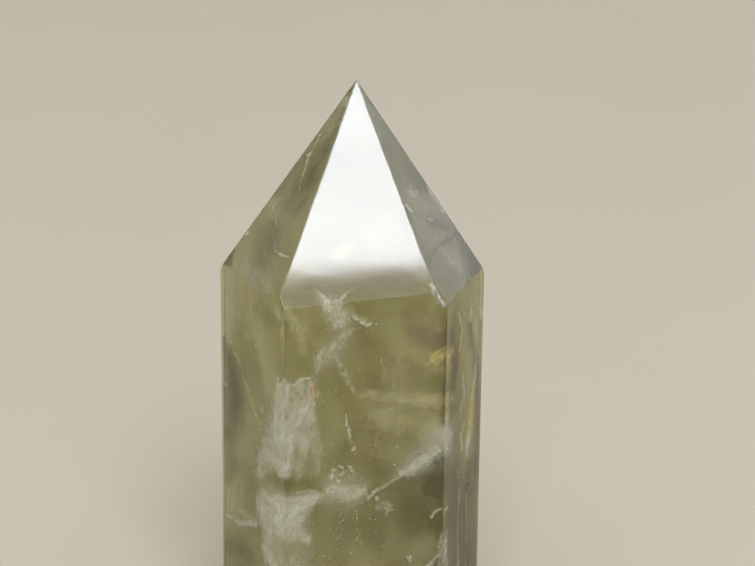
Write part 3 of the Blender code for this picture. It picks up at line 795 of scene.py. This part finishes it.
def keep_inside(mesh, clearance_mm=CLEARANCE_MM):
    """Cuts away what reaches closer than the clearance to the stone's faces."""
    bm = bmesh.new()
    bm.from_mesh(mesh)
    for normal, distance in stone_planes():
        bmesh.ops.bisect_plane(bm, geom=bm.verts[:] + bm.edges[:] + bm.faces[:], dist=1e-7,
                               plane_co=normal * (distance - clearance_mm * MM), plane_no=normal,
                               clear_outer=True)
    if not bm.faces:
        bm.free()
        raise RuntimeError(f"{mesh.name} lies outside the stone")
    bm.to_mesh(mesh)
    bm.free()
    return mesh


def place_piece(name, mesh, material):
    """Makes the mesh a piece of the stone with the given material: it rides on the root body."""
    mesh.materials.append(material)
    mesh.shade_smooth()
    piece = bpy.data.objects.new(name, mesh)
    bpy.context.scene.collection.objects.link(piece)
    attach(piece, "root")
    return piece


def widened(strokes, factor):
    """The same strokes made wider, for the mist round a veil."""
    return tuple((strength, tuple((x, y, z, factor * half) for x, y, z, half in points))
                 for strength, points in strokes)


def veil(name, strokes, material, **form):
    """Makes the strokes a veil inside the stone."""
    return place_piece(name, keep_inside(sheet_mesh(name, strokes, **form)), material)


def lay_veils(rows, layer_gap, **materials):
    """Makes each row of a table of veils a piece."""
    for name, strokes, material, *form in rows:
        form = dict(zip(VEIL_FORM, form))
        if form["gap"] is None:
            form["gap"] = layer_gap
        veil(name, strokes, materials[material], **form)


# ---------------------------------------------------------------------------------------------
# Scattering flecks with Geometry Nodes
# ---------------------------------------------------------------------------------------------

def fleck_tree(material):
    """Geometry Nodes tree: strews small faceted slivers over a veil, more where it is thicker."""
    tree = bpy.data.node_groups.new("scattered_flecks", "GeometryNodeTree")
    for kind, label, default in (("NodeSocketGeometry", "Geometry", None),
                                 ("NodeSocketFloat", "Fleck Size", 0.34 * MM),
                                 ("NodeSocketFloat", "Flecks per Area", 1.0e6), ("NodeSocketInt", "Seed", 0)):
        socket = tree.interface.new_socket(label, in_out="INPUT", socket_type=kind)
        if default is not None:
            socket.default_value = default
    tree.interface.new_socket("Geometry", in_out="OUTPUT", socket_type="NodeSocketGeometry")
    given = add_node(tree, "NodeGroupInput").outputs
    thick = add_node(tree, "GeometryNodeInputNamedAttribute",
                     {"data_type": "FLOAT", "Name": "thickness"}).outputs["Attribute"]
    crowded = add_node(tree, "ShaderNodeMath", {"operation": "POWER", 0: thick, 1: 2.2}).outputs["Value"]
    per_area = add_node(tree, "ShaderNodeMath",
                        {"operation": "MULTIPLY", 0: crowded, 1: given["Flecks per Area"]}).outputs["Value"]
    points = add_node(tree, "GeometryNodeDistributePointsOnFaces",
                      {"distribute_method": "RANDOM", "Mesh": given["Geometry"], "Density": per_area,
                       "Seed": given["Seed"]})
    sliver = add_node(tree, "GeometryNodeMeshIcoSphere", {"Radius": 0.5, "Subdivisions": 1})
    turn = add_node(tree, "FunctionNodeRandomValue",
                    {"data_type": "FLOAT_VECTOR", "Max": (math.tau, math.tau, math.tau),
                     "Seed": given["Seed"]})
    reach = add_node(tree, "FunctionNodeRandomValue",
                     {"data_type": "FLOAT", 2: 0.45, 3: 1.0, "Seed": given["Seed"]})
    skewed = add_node(tree, "ShaderNodeMath",
                      {"operation": "POWER", 0: reach.outputs[1], 1: 2.0}).outputs["Value"]
    length = add_node(tree, "ShaderNodeMath",
                      {"operation": "MULTIPLY", 0: skewed, 1: given["Fleck Size"]}).outputs["Value"]
    size = add_node(tree, "ShaderNodeVectorMath", {"operation": "SCALE", 0: (1.0, 0.7, 0.3), "Scale": length})
    spread = add_node(tree, "GeometryNodeInstanceOnPoints",
                      {"Points": points.outputs["Points"], "Instance": sliver.outputs["Mesh"],
                       "Rotation": turn.outputs[0], "Scale": size.outputs["Vector"]})
    plain = add_node(tree, "GeometryNodeRealizeInstances", {"Geometry": spread.outputs["Instances"]})
    dressed = add_node(tree, "GeometryNodeSetMaterial",
                       {"Material": material, "Geometry": plain.outputs["Geometry"]})
    add_node(tree, "NodeGroupOutput", {"Geometry": dressed.outputs["Geometry"]})
    return tree


def flecks(name, strokes, tree, material, per_mm2, size_mm, seed, lift=1.1, clearance_mm=CLEARANCE_MM,
           **form):
    """Strews flecks over one layer of the strokes and keeps them as a plain mesh."""
    carrier = bpy.data.objects.new(name + "_carrier",
                                   sheet_mesh(name, strokes, layers=1, lift=lift, seed=seed, **form))
    bpy.context.scene.collection.objects.link(carrier)
    modifier = carrier.modifiers.new("flecks", "NODES")
    modifier.node_group = tree
    identifiers = {item.name: item.identifier for item in tree.interface.items_tree if item.in_out == "INPUT"}
    modifier[identifiers["Fleck Size"]] = size_mm * MM
    modifier[identifiers["Flecks per Area"]] = per_mm2 / MM ** 2
    modifier[identifiers["Seed"]] = seed
    evaluated = carrier.evaluated_get(bpy.context.evaluated_depsgraph_get())
    mesh = bpy.data.meshes.new_from_object(evaluated)
    carrier.modifiers.clear()
    bpy.data.objects.remove(carrier)
    mesh.name = name
    mesh.materials.clear()
    return place_piece(name, keep_inside(mesh, clearance_mm), material)


# ---------------------------------------------------------------------------------------------
# What is laid inside the stone, in mm
# ---------------------------------------------------------------------------------------------

HAZE_DEPTHS = (-13.0, -6.5, 0.0, 6.5, 13.0)
HAZE_HEIGHTS = (2.0, 36.0, 70.0, 101.0)
HAZE_REACH = 21.0

# A veil's row is its piece, its strokes, its material and its form. Without a gap it has the usual one.
VEIL_FORM = ("facing", "step", "layers", "gap", "ragged", "ripple", "seed", "soft")
FRONT_VEILS = (
    ("milky_curtain", PLUME, "curtain", FRONT, 0.45, 5, None, 0.9, 0.9, 1.0, 1.0),
    ("curtain_core", PLUME_CORE, "curdled", FRONT, 0.3, 2, None, 0.8, 0.4, 31.0, 1.0),
    ("curtain_edge", PLUME_EDGE, "bright", FRONT, 0.2, 2, 0.3, 0.35, 0.2, 2.0, 0.0),
    ("star_veil", STAR, "curdled", FRONT, 0.2, 3, 0.35, 0.3, 0.3, 3.0, 0.6),
    ("star_arms", STAR[:2], "bright", FRONT, 0.12, 2, 0.2, 0.12, 0.1, 32.0, 0.0),
    ("trail_specks", TRAIL[1:], "bright", FRONT, 0.15, 2, 0.3, 0.35, 0.2, 35.0, 0.0),
    ("star_beads", STAR_DOTS, "bright", FRONT, 0.15, 2, 0.3, 0.3, 0.2, 33.0, 0.0),
    ("speckled_trail", TRAIL, "curdled", FRONT, 0.25, 3, None, 0.7, 0.6, 4.0, 1.0),
    ("comet_streak", COMET, "curdled", FRONT, 0.2, 2, 0.35, 0.25, 0.3, 5.0, 1.0),
    ("flame_flecks", FLAME, "bright", FRONT, 0.15, 2, 0.3, 0.2, 0.1, 6.0, 0.0),
    ("healed_crack", CRACK, "curdled", FRONT, 0.25, 3, None, 0.35, 0.5, 7.0, 0.5),
    ("crack_beads", CRACK_BEADS, "bright", FRONT, 0.15, 2, 0.3, 0.3, 0.2, 37.0, 0.0),
    ("middle_lobes", LOBES, "curdled", FRONT, 0.3, 3, None, 0.5, 0.5, 8.0, 0.6),
    ("lobe_dots", LOBE_DOTS, "bright", FRONT, 0.15, 2, 0.3, 0.35, 0.2, 38.0, 0.0),
    ("lower_cloud", LOWER_CLOUD, "curdled", FRONT, 0.3, 4, None, 0.7, 0.7, 9.0, 0.8),
    ("cloud_edge", CLOUD_EDGE, "bright", FRONT, 0.2, 2, 0.3, 0.35, 0.2, 39.0, 0.0),
    ("lower_wisps", WISPS, "curdled", FRONT, 0.2, 2, 0.4, 0.25, 0.3, 10.0, 0.0),
    ("star_mist", widened(STAR[:3] + TRAIL[:1], 2.2), "mist", FRONT, 0.45, 3, 0.9, 1.2, 0.9, 17.0, 0.0),
    ("crack_mist", widened(CRACK[:1] + LOBES[:2], 2.2), "mist", FRONT, 0.45, 3, 0.9, 1.2, 0.9, 18.0, 0.0),
    ("cloud_mist", widened(LOWER_CLOUD, 1.8), "mist", FRONT, 0.45, 3, 0.9, 1.4, 1.0, 19.0, 0.0),
    ("pale_sheets", PALE_SHEETS, "soft", FRONT, 0.5, 3, 0.9, 1.0, 1.0, 11.0, 1.0),
    ("rosy_veil", ROSY_VEIL, "rosy", FRONT, 0.4, 3, 0.7, 0.8, 0.6, 34.0, 0.8),
    ("rainbow_glint", GLINT, "film", FRONT, 0.1, 1, 0.55, 0.1, 0.1, 12.0, 0.0),
)
SIDE_VEILS = (
    ("left_face_sheets", LEFT_SHEETS, "faint", LEFT, 0.25, 2, 0.55, 0.35, 0.5, 12.0, 0.0),
    ("left_face_dots", LEFT_DOTS, "cool", LEFT, 0.2, 2, 0.3, 0.4, 0.5, 42.0, 0.0),
    ("right_face_cracks", RIGHT_SLIVER, "sliver", RIGHT, 0.2, 3, 0.25, 0.25, 0.2, 13.0, 0.0),
    ("tip_left_veins", TIP_LEFT, "cool", LEFT_SLOPE, 0.2, 2, 0.3, 0.3, 0.5, 14.0, 0.6),
    ("tip_left_dots", TIP_LEFT[5:], "white", LEFT_SLOPE, 0.12, 1, 0.55, 0.1, 0.0, 46.0, 0.0),
    ("tip_right_crack", TIP_RIGHT[:4] + TIP_RIGHT[5:6] + TIP_RIGHT[8:], "white",
     RIGHT_SLOPE, 0.15, 2, 0.3, 0.2, 0.1, 45.0, 0.0),
    ("tip_right_veins", TIP_RIGHT, "cool", RIGHT_SLOPE, 0.25, 2, 0.3, 0.4, 0.5, 15.0, 0.0),
    ("back_veils", BACK_VEILS, "cool", BACK, 0.4, 3, 0.55, 1.2, 1.2, 16.0, 0.8),
    ("back_right_veils", BACK_RIGHT_VEILS, "cool", BACK_RIGHT, 0.35, 3, 0.55, 1.0, 0.8, 47.0, 0.6),
    ("back_left_veils", BACK_LEFT_VEILS, "cool", BACK_LEFT, 0.35, 3, 0.55, 1.0, 0.8, 48.0, 0.6),
)
# The left, front, right and right-edge rows are dark sheets of painted shade; the tip rows are smoky zones
# and the gold rows iron stain.
COLOUR_AND_SHADE_ZONES = (
    ("left_smoke", LEFT_PAINTED_SHADE, "smoke", LEFT, 0.45, 2, 0.8, 1.0, 0.3, 21.0, 1.0),
    ("right_smoke", RIGHT_PAINTED_SHADE, "corner", RIGHT, 0.45, 2, 0.8, 0.8, 0.2, 22.0, 1.0),
    ("front_smoke", FRONT_PAINTED_SHADOW, "smoke", FRONT, 0.45, 1, 0.55, 0.8, 0.5, 23.0, 0.7),
    ("tip_left_smoke", TIP_LEFT_SMOKE, "smoke", LEFT_SLOPE, 0.3, 1, 0.55, 0.5, 0.5, 24.0, 1.0),
    ("tip_right_smoke", TIP_RIGHT_SMOKE, "smoke", RIGHT_SLOPE, 0.15, 1, 0.55, 0.3, 0.5, 24.0, 0.6),
    ("corner_smoke", RIGHT_EDGE_PAINTED_SHADE, "corner", RIGHT, 0.25, 1, 0.55, 0.3, 0.0, 28.0, 1.0),
    ("gold_sheets", GOLD, "stain", FRONT, 0.45, 1, 0.55, 1.0, 0.8, 25.0, 0.0),
    ("right_gold", RIGHT_GOLD, "stain", RIGHT, 0.45, 1, 0.55, 0.4, 0.4, 26.0, 0.0),
    ("gold_cloud", GOLD_CLOUD, "cloud", FRONT, 0.2, 3, 0.4, 0.5, 0.5, 29.0, 0.8),
    ("gold_streaks", GOLD_STREAKS, "cloud", FRONT, 0.12, 2, 0.3, 0.2, 0.1, 27.0, 0.0),
)

# A row of flecks is its piece, its strokes, how many on a square mm, their length as a share of the usual
# one, what is added to the seed, and the form of the sheet that they lie on.
FLECK_FORM = ("facing", "step", "ragged", "lift", "clearance_mm")
FLECKS = (
    ("curtain_flecks", PLUME_EDGE + PLUME, 3.5, 0.5, 0, FRONT, 0.45, 0.7, 1.1, CLEARANCE_MM),
    ("star_flecks", STAR + STAR_DOTS + TRAIL, 9.0, 0.8, 1, FRONT, 0.45, 0.7, 1.1, CLEARANCE_MM),
    ("crack_flecks", CRACK + LOBES + CRACK_BEADS + LOBE_DOTS, 6.0, 0.8, 2,
     FRONT, 0.45, 0.7, 1.1, CLEARANCE_MM),
    ("cloud_flecks", LOWER_CLOUD + CLOUD_EDGE + WISPS, 3.5, 0.8, 3, FRONT, 0.45, 0.7, 1.1, CLEARANCE_MM),
    ("side_flecks", RIGHT_SLIVER, 4.0, 0.7, 4, RIGHT, 0.3, 0.7, 1.1, CLEARANCE_MM),
    ("left_flecks", LEFT_DOTS + LEFT_SHEETS, 1.5, 0.6, 6, LEFT, 0.3, 0.7, 1.1, CLEARANCE_MM),
    ("tip_flecks", TIP_RIGHT, 5.0, 0.7, 5, RIGHT_SLOPE, 0.3, 0.7, 1.1, CLEARANCE_MM),
    ("tip_left_flecks", TIP_LEFT, 3.0, 0.6, 7, LEFT_SLOPE, 0.3, 0.7, 1.1, CLEARANCE_MM),
    ("front_dust", ((0.4, DUST_FRONT),), 5.0, 0.5, 9, FRONT, 1.0, 0.7, 1.1, CLEARANCE_MM),
    ("left_dust", ((0.4, DUST_LEFT),), 3.0, 0.5, 10, LEFT, 1.0, 0.7, 1.1, CLEARANCE_MM),
    ("right_dust", ((0.4, DUST_RIGHT),), 3.0, 0.5, 11, RIGHT, 1.0, 0.7, 1.1, CLEARANCE_MM),
    ("tip_crack_grains", TIP_RIGHT[:1] + TIP_RIGHT[3:4] + TIP_RIGHT[5:6], 30.0, 0.6, 12,
     RIGHT_SLOPE, 0.15, 0.2, 0.4, CLEARANCE_MM),
    ("back_flecks", BACK_VEILS, 1.2, 0.6, 13, BACK, 0.5, 0.7, 1.1, CLEARANCE_MM),
    ("chip_grains", CHIP_GRAINS, 70.0, 0.9, 8, FRONT, 0.1, 0.15, 0.0, 0.06),
)


# ---------------------------------------------------------------------------------------------
# Operators
# ---------------------------------------------------------------------------------------------

class CITRINE_OT_stage(bpy.types.Operator):
    """Sets up the pale floor, the light all round, the softbox, the two fill lights and the camera"""
    bl_idname = "citrine.stage"
    bl_label = "Pale Studio"

    def execute(self, context):
        scene, stage = context.scene, context.scene.citrine_stage
        scene.view_settings.view_transform = "Standard"
        scene.cycles.max_bounces = 24
        scene.cycles.transmission_bounces = 24
        scene.cycles.transparent_max_bounces = 64
        scene.cycles.diffuse_bounces = 6
        scene.cycles.glossy_bounces = 8
        scene.cycles.sample_clamp_indirect = 4.0
        scene.cycles.denoising_input_passes = "RGB_ALBEDO"
        self.pale_floor(scene, stage)
        self.light_all_round(scene, stage)
        self.softbox(scene, "softbox", stage.key, stage.key_radiance, (stage.key_width, stage.key_height),
                     stage.key_distance, stage.key_bearing, stage.key_elevation)
        fills = (("cool_fill_right", 1.0, 1.0), ("cool_fill_left", -1.0, stage.fill_balance))
        for name, side, balance in fills:
            self.softbox(scene, name, stage.fill, stage.fill_radiance * balance, FILL_SIZE, FILL_DISTANCE,
                         side * stage.fill_bearing, stage.fill_elevation)
        self.light_the_outside(scene)
        self.camera(scene, stage)
        return {"FINISHED"}

    def light_the_outside(self, scene):
        """Lets the area lights reach the stone and floor only. Inside, the faces stop their shadow rays."""
        outside = bpy.data.collections.new("lit_from_outside")
        for thing in (frame["nodes"][STONE], bpy.data.objects["floor"]):
            outside.objects.link(thing)
        for light in (thing for thing in scene.objects if thing.type == "LIGHT"):
            light.light_linking.receiver_collection = outside

    def pale_floor(self, scene, stage):
        """A wide board, painted matt, with a faint mottle."""
        mesh = bpy.data.meshes.new("floor")
        corners = ((-1, -1), (1, -1), (1, 1), (-1, 1))
        mesh.from_pydata([(x * FLOOR_REACH, y * FLOOR_REACH, -FLOOR_DROP) for x, y in corners], [],
                         [(0, 1, 2, 3)])
        material, tree, out = new_material("matt_painted_board")
        place = position_mm(tree)
        mottle = add_node(tree, "ShaderNodeTexNoise", {"Scale": 1.0 / 40.0, "Detail": 3.0, "Vector": place})
        tone = add_node(tree, "ShaderNodeMix",
                        {"data_type": "RGBA", "A": stage.floor,
                         "B": [0.97 * c for c in stage.floor[:3]] + [1.0], "Factor": mottle.outputs["Fac"]})
        paint = add_node(tree, "ShaderNodeBsdfPrincipled",
                         {"Roughness": 0.9, "Base Color": tone.outputs["Result"]})
        tree.links.new(paint.outputs[0], out.inputs["Surface"])
        mesh.materials.append(material)
        floor = bpy.data.objects.new("floor", mesh)
        scene.collection.objects.link(floor)

    def light_all_round(self, scene, stage):
        """An even pale light from everywhere, brighter towards one side of the sky."""
        world = bpy.data.worlds.new("pale_studio")
        world.use_nodes = True
        tree = world.node_tree
        backdrop = tree.nodes["Background"]
        backdrop.inputs["Color"].default_value = stage.backdrop
        looking = add_node(tree, "ShaderNodeTexCoord").outputs["Generated"]
        toward = self.direction(stage.glow_bearing, stage.glow_elevation)
        facing = add_node(tree, "ShaderNodeVectorMath", {"operation": "DOT_PRODUCT", 0: looking, 1: toward})
        glow = add_node(tree, "ShaderNodeMapRange",
                        {"interpolation_type": "SMOOTHERSTEP", "From Min": 0.25,
                         "To Min": stage.backdrop_strength,
                         "To Max": stage.backdrop_strength + stage.glow_strength,
                         "Value": facing.outputs["Value"]})
        tree.links.new(glow.outputs["Result"], backdrop.inputs["Strength"])
        world.cycles.sampling_method = "NONE"       # for speed: any ray that gets out meets this light
        scene.world = world

    def direction(self, bearing, elevation):
        """Unit vector from the stone towards a bearing from the front and a height angle."""
        return Vector((math.cos(elevation) * math.sin(bearing), -math.cos(elevation) * math.cos(bearing),
                       math.sin(elevation)))

    def softbox(self, scene, name, tint, radiance, size, distance, bearing, elevation):
        """An even rectangle of light that the faces mirror, unseen by the camera and through the stone."""
        light = bpy.data.lights.new(name, "AREA")
        light.shape = "RECTANGLE"
        light.size, light.size_y = size
        light.color = tint[:3]
        light.energy = radiance * math.pi * size[0] * size[1]
        box = bpy.data.objects.new(name, light)
        scene.collection.objects.link(box)
        away = self.direction(bearing, elevation)
        box.location = Vector((0.0, 0.0, LIT_HEIGHT)) + away * distance
        box.rotation_euler = away.to_track_quat("Z", "Y").to_euler()
        box.visible_camera = False
        box.visible_transmission = False

    def camera(self, scene, stage):
        """The camera, turned to a point near the tip's own line."""
        tip = max((v.co for v in frame["nodes"][STONE].data.vertices), key=lambda co: co.z)
        aim = Vector((tip.x + stage.aim_right, 0.0, stage.aim_height))
        bearing, elevation = stage.camera_bearing, stage.camera_elevation
        away = self.direction(bearing, elevation)
        lens = bpy.data.cameras.new("camera")
        lens.sensor_width, lens.lens, lens.clip_start = SENSOR_MM, stage.camera_lens, 10 * MM
        camera = bpy.data.objects.new("camera", lens)
        scene.collection.objects.link(camera)
        camera.location = aim + away * stage.camera_distance
        turn = (-away).to_track_quat("-Z", "Y").to_matrix() @ Matrix.Rotation(stage.camera_roll, 3, "Z")
        camera.rotation_euler = turn.to_euler()
        scene.camera = camera


class CITRINE_OT_stone(bpy.types.Operator):
    """Gives the stone its polished quartz finish"""
    bl_idname = "citrine.stone"
    bl_label = "Polished Stone"

    def execute(self, context):
        slots = frame["nodes"][STONE].data.materials
        material = polished_citrine_material(context.scene.citrine_stone, stone_planes())
        slots.clear()
        slots.append(material)
        return {"FINISHED"}


class CITRINE_OT_growth_haze(bpy.types.Operator):
    """Lays thin clouds through the whole stone, in sheets along its growth faces"""
    bl_idname = "citrine.growth_haze"
    bl_label = "Growth Haze"

    def execute(self, context):
        inside = context.scene.citrine_inside
        for number, bearing in enumerate((0.0, 60.0, 120.0)):
            material = milky_material(f"growth_haze_{number}", inside.haze, inside.haze_strength, 13.0,
                                      (0.28, 0.72), (1.0, 1.0, 0.75), seed=3.0 + number, other=inside.olive,
                                      patch_mm=15.0)
            out = sheet_axes(bearing)[2]
            for count, depth in enumerate(HAZE_DEPTHS):
                line = tuple((*(out * depth + (0, 0, z)), HAZE_REACH) for z in HAZE_HEIGHTS)
                veil(f"growth_haze_{number}_{count}", ((1.0, line),), material, facing=(bearing, 90.0),
                     step=1.6, layers=1, ragged=0.0, ripple=2.4, ripple_size=13.0, seed=2.0 * count + number)
        return {"FINISHED"}


class CITRINE_OT_front_veils(bpy.types.Operator):
    """Lays the milky curtain, the star, the trail, the streaks and the lower clouds behind the front face"""
    bl_idname = "citrine.front_veils"
    bl_label = "Front Veils"

    def execute(self, context):
        inside = context.scene.citrine_inside
        strength = inside.veil_strength
        lay_veils(
            FRONT_VEILS, inside.layer_gap / MM,
            curtain=milky_material("milky_curtain", inside.veil, 1.05 * strength, 1.6, (0.28, 0.72),
                                   (1.1, 1.0, 0.6), seed=1.0, speck_mm=0.45, detail=8.0),
            curdled=milky_material("curdled_veil", inside.veil, 1.2 * strength, 1.3, (0.22, 0.68), seed=4.0,
                                   speck_mm=0.5, detail=7.0),
            bright=milky_material("bright_crack_edge", inside.fracture, 1.0, 0.5, (0.36, 0.60), seed=6.0,
                                  speck_mm=0.5),
            soft=milky_material("soft_pale_sheet", inside.haze, 0.9 * strength, 5.0, (0.16, 0.66), seed=8.0,
                                detail=6.0),
            mist=milky_material("veil_mist", inside.veil, 0.42 * strength, 3.0, (0.22, 0.66), seed=9.0),
            rosy=milky_material("rosy_veil", inside.rosy, 0.5, 2.0, (0.24, 0.66), seed=18.0, detail=6.0),
            film=glint_material("painted_iridescent_glint"))
        return {"FINISHED"}


class CITRINE_OT_side_veils(bpy.types.Operator):
    """Lays the cracks and pale sheets behind the side faces, in the tip and at the back"""
    bl_idname = "citrine.side_veils"
    bl_label = "Side, Tip and Back Veils"

    def execute(self, context):
        inside = context.scene.citrine_inside
        strength = inside.veil_strength
        lay_veils(
            SIDE_VEILS, inside.layer_gap / MM,
            sliver=milky_material("silky_crack", inside.silk, 1.4 * strength, 1.2, (0.26, 0.52),
                                  (1.6, 1.6, 0.35), seed=12.0, other=inside.veil, patch_mm=3.0),
            faint=milky_material("faint_veil", inside.haze, strength, 2.0, (0.32, 0.60), seed=13.0),
            cool=milky_material("cool_veil", inside.veil, strength, 1.6, (0.30, 0.58), seed=14.0,
                                speck_mm=0.5),
            white=milky_material("bright_tip_crack", inside.fracture, 1.0, 0.5, (0.34, 0.58), seed=17.0,
                                 speck_mm=0.5))
        return {"FINISHED"}


class CITRINE_OT_colour_zones(bpy.types.Operator):
    """Lays the smoky zones, the dark sheets of painted shade at the left, front and right, and the
    gold-stained sheets
    """
    bl_idname = "citrine.colour_zones"
    bl_label = "Smoky and Gold Zones"

    def execute(self, context):
        inside = context.scene.citrine_inside
        lay_veils(
            COLOUR_AND_SHADE_ZONES, inside.layer_gap / MM,
            # The smoky zones in the tip, and the painted shade at the left and at the front.
            smoke=darkening_sheet_material("smoke_and_painted_shade", inside.smoke, 0.55, 4.0, seed=2.0),
            # Painted shade on the right: dark sheets behind the right face and along its edge.
            corner=darkening_sheet_material("painted_shade_brown_corner", inside.painted_shade_brown, 0.55, 3.0, seed=3.0, least=0.6),
            stain=darkening_sheet_material("iron_stain", inside.gold, 0.85, 2.2, seed=5.0),
            cloud=milky_material("iron_stained_cloud", inside.amber, 0.75, 0.9, (0.32, 0.56), seed=15.0,
                                 speck_mm=0.4))
        return {"FINISHED"}


class CITRINE_OT_flecks(bpy.types.Operator):
    """Strews bright slivers over the veils and cracks"""
    bl_idname = "citrine.flecks"
    bl_label = "Bright Flecks"

    def execute(self, context):
        inside = context.scene.citrine_inside
        material = bright_fracture_material("crushed_fracture", inside.fracture)
        tree = fleck_tree(material)
        ordinary = inside.fleck_size / MM
        for name, strokes, per_mm2, size, seed, *form in FLECKS:
            flecks(name, strokes, tree, material, per_mm2, size * ordinary, inside.seed + seed,
                   **dict(zip(FLECK_FORM, form)))
        return {"FINISHED"}


class CITRINE_PT_panel(bpy.types.Panel):
    """Lists the steps that dress the stone"""
    bl_label = "Citrine Point"
    bl_idname = "CITRINE_PT_panel"
    bl_space_type = "VIEW_3D"
    bl_region_type = "UI"
    bl_category = "Citrine"

    def draw(self, context):
        scene = context.scene
        for group in (scene.citrine_stone, scene.citrine_inside, scene.citrine_stage):
            box = self.layout.box()
            for setting in group.bl_rna.properties.keys():
                if setting not in ("rna_type", "name"):
                    box.prop(group, setting)
        for step in STEPS:
            self.layout.operator(step.bl_idname)


SETTINGS = {"citrine_stone": CITRINE_PG_stone, "citrine_inside": CITRINE_PG_inside,
            "citrine_stage": CITRINE_PG_stage}
STEPS = (CITRINE_OT_stage, CITRINE_OT_stone, CITRINE_OT_growth_haze, CITRINE_OT_front_veils,
         CITRINE_OT_side_veils, CITRINE_OT_colour_zones, CITRINE_OT_flecks)
CLASSES = (*SETTINGS.values(), *STEPS, CITRINE_PT_panel)


def register():
    """Adds the classes, and their settings to the scene."""
    for cls in CLASSES:
        bpy.utils.register_class(cls)
    for name, group in SETTINGS.items():
        setattr(bpy.types.Scene, name, PointerProperty(type=group))


def unregister():
    """Takes away what register added."""
    for name in SETTINGS:
        delattr(bpy.types.Scene, name)
    for cls in reversed(CLASSES):
        bpy.utils.unregister_class(cls)


def main():
    """Dresses the stone."""
    register()
    bpy.ops.citrine.stage()
    bpy.ops.citrine.stone()
    bpy.ops.citrine.growth_haze()
    bpy.ops.citrine.front_veils()
    bpy.ops.citrine.side_veils()
    bpy.ops.citrine.colour_zones()
    bpy.ops.citrine.flecks()


if __name__ == "__main__":
    main()
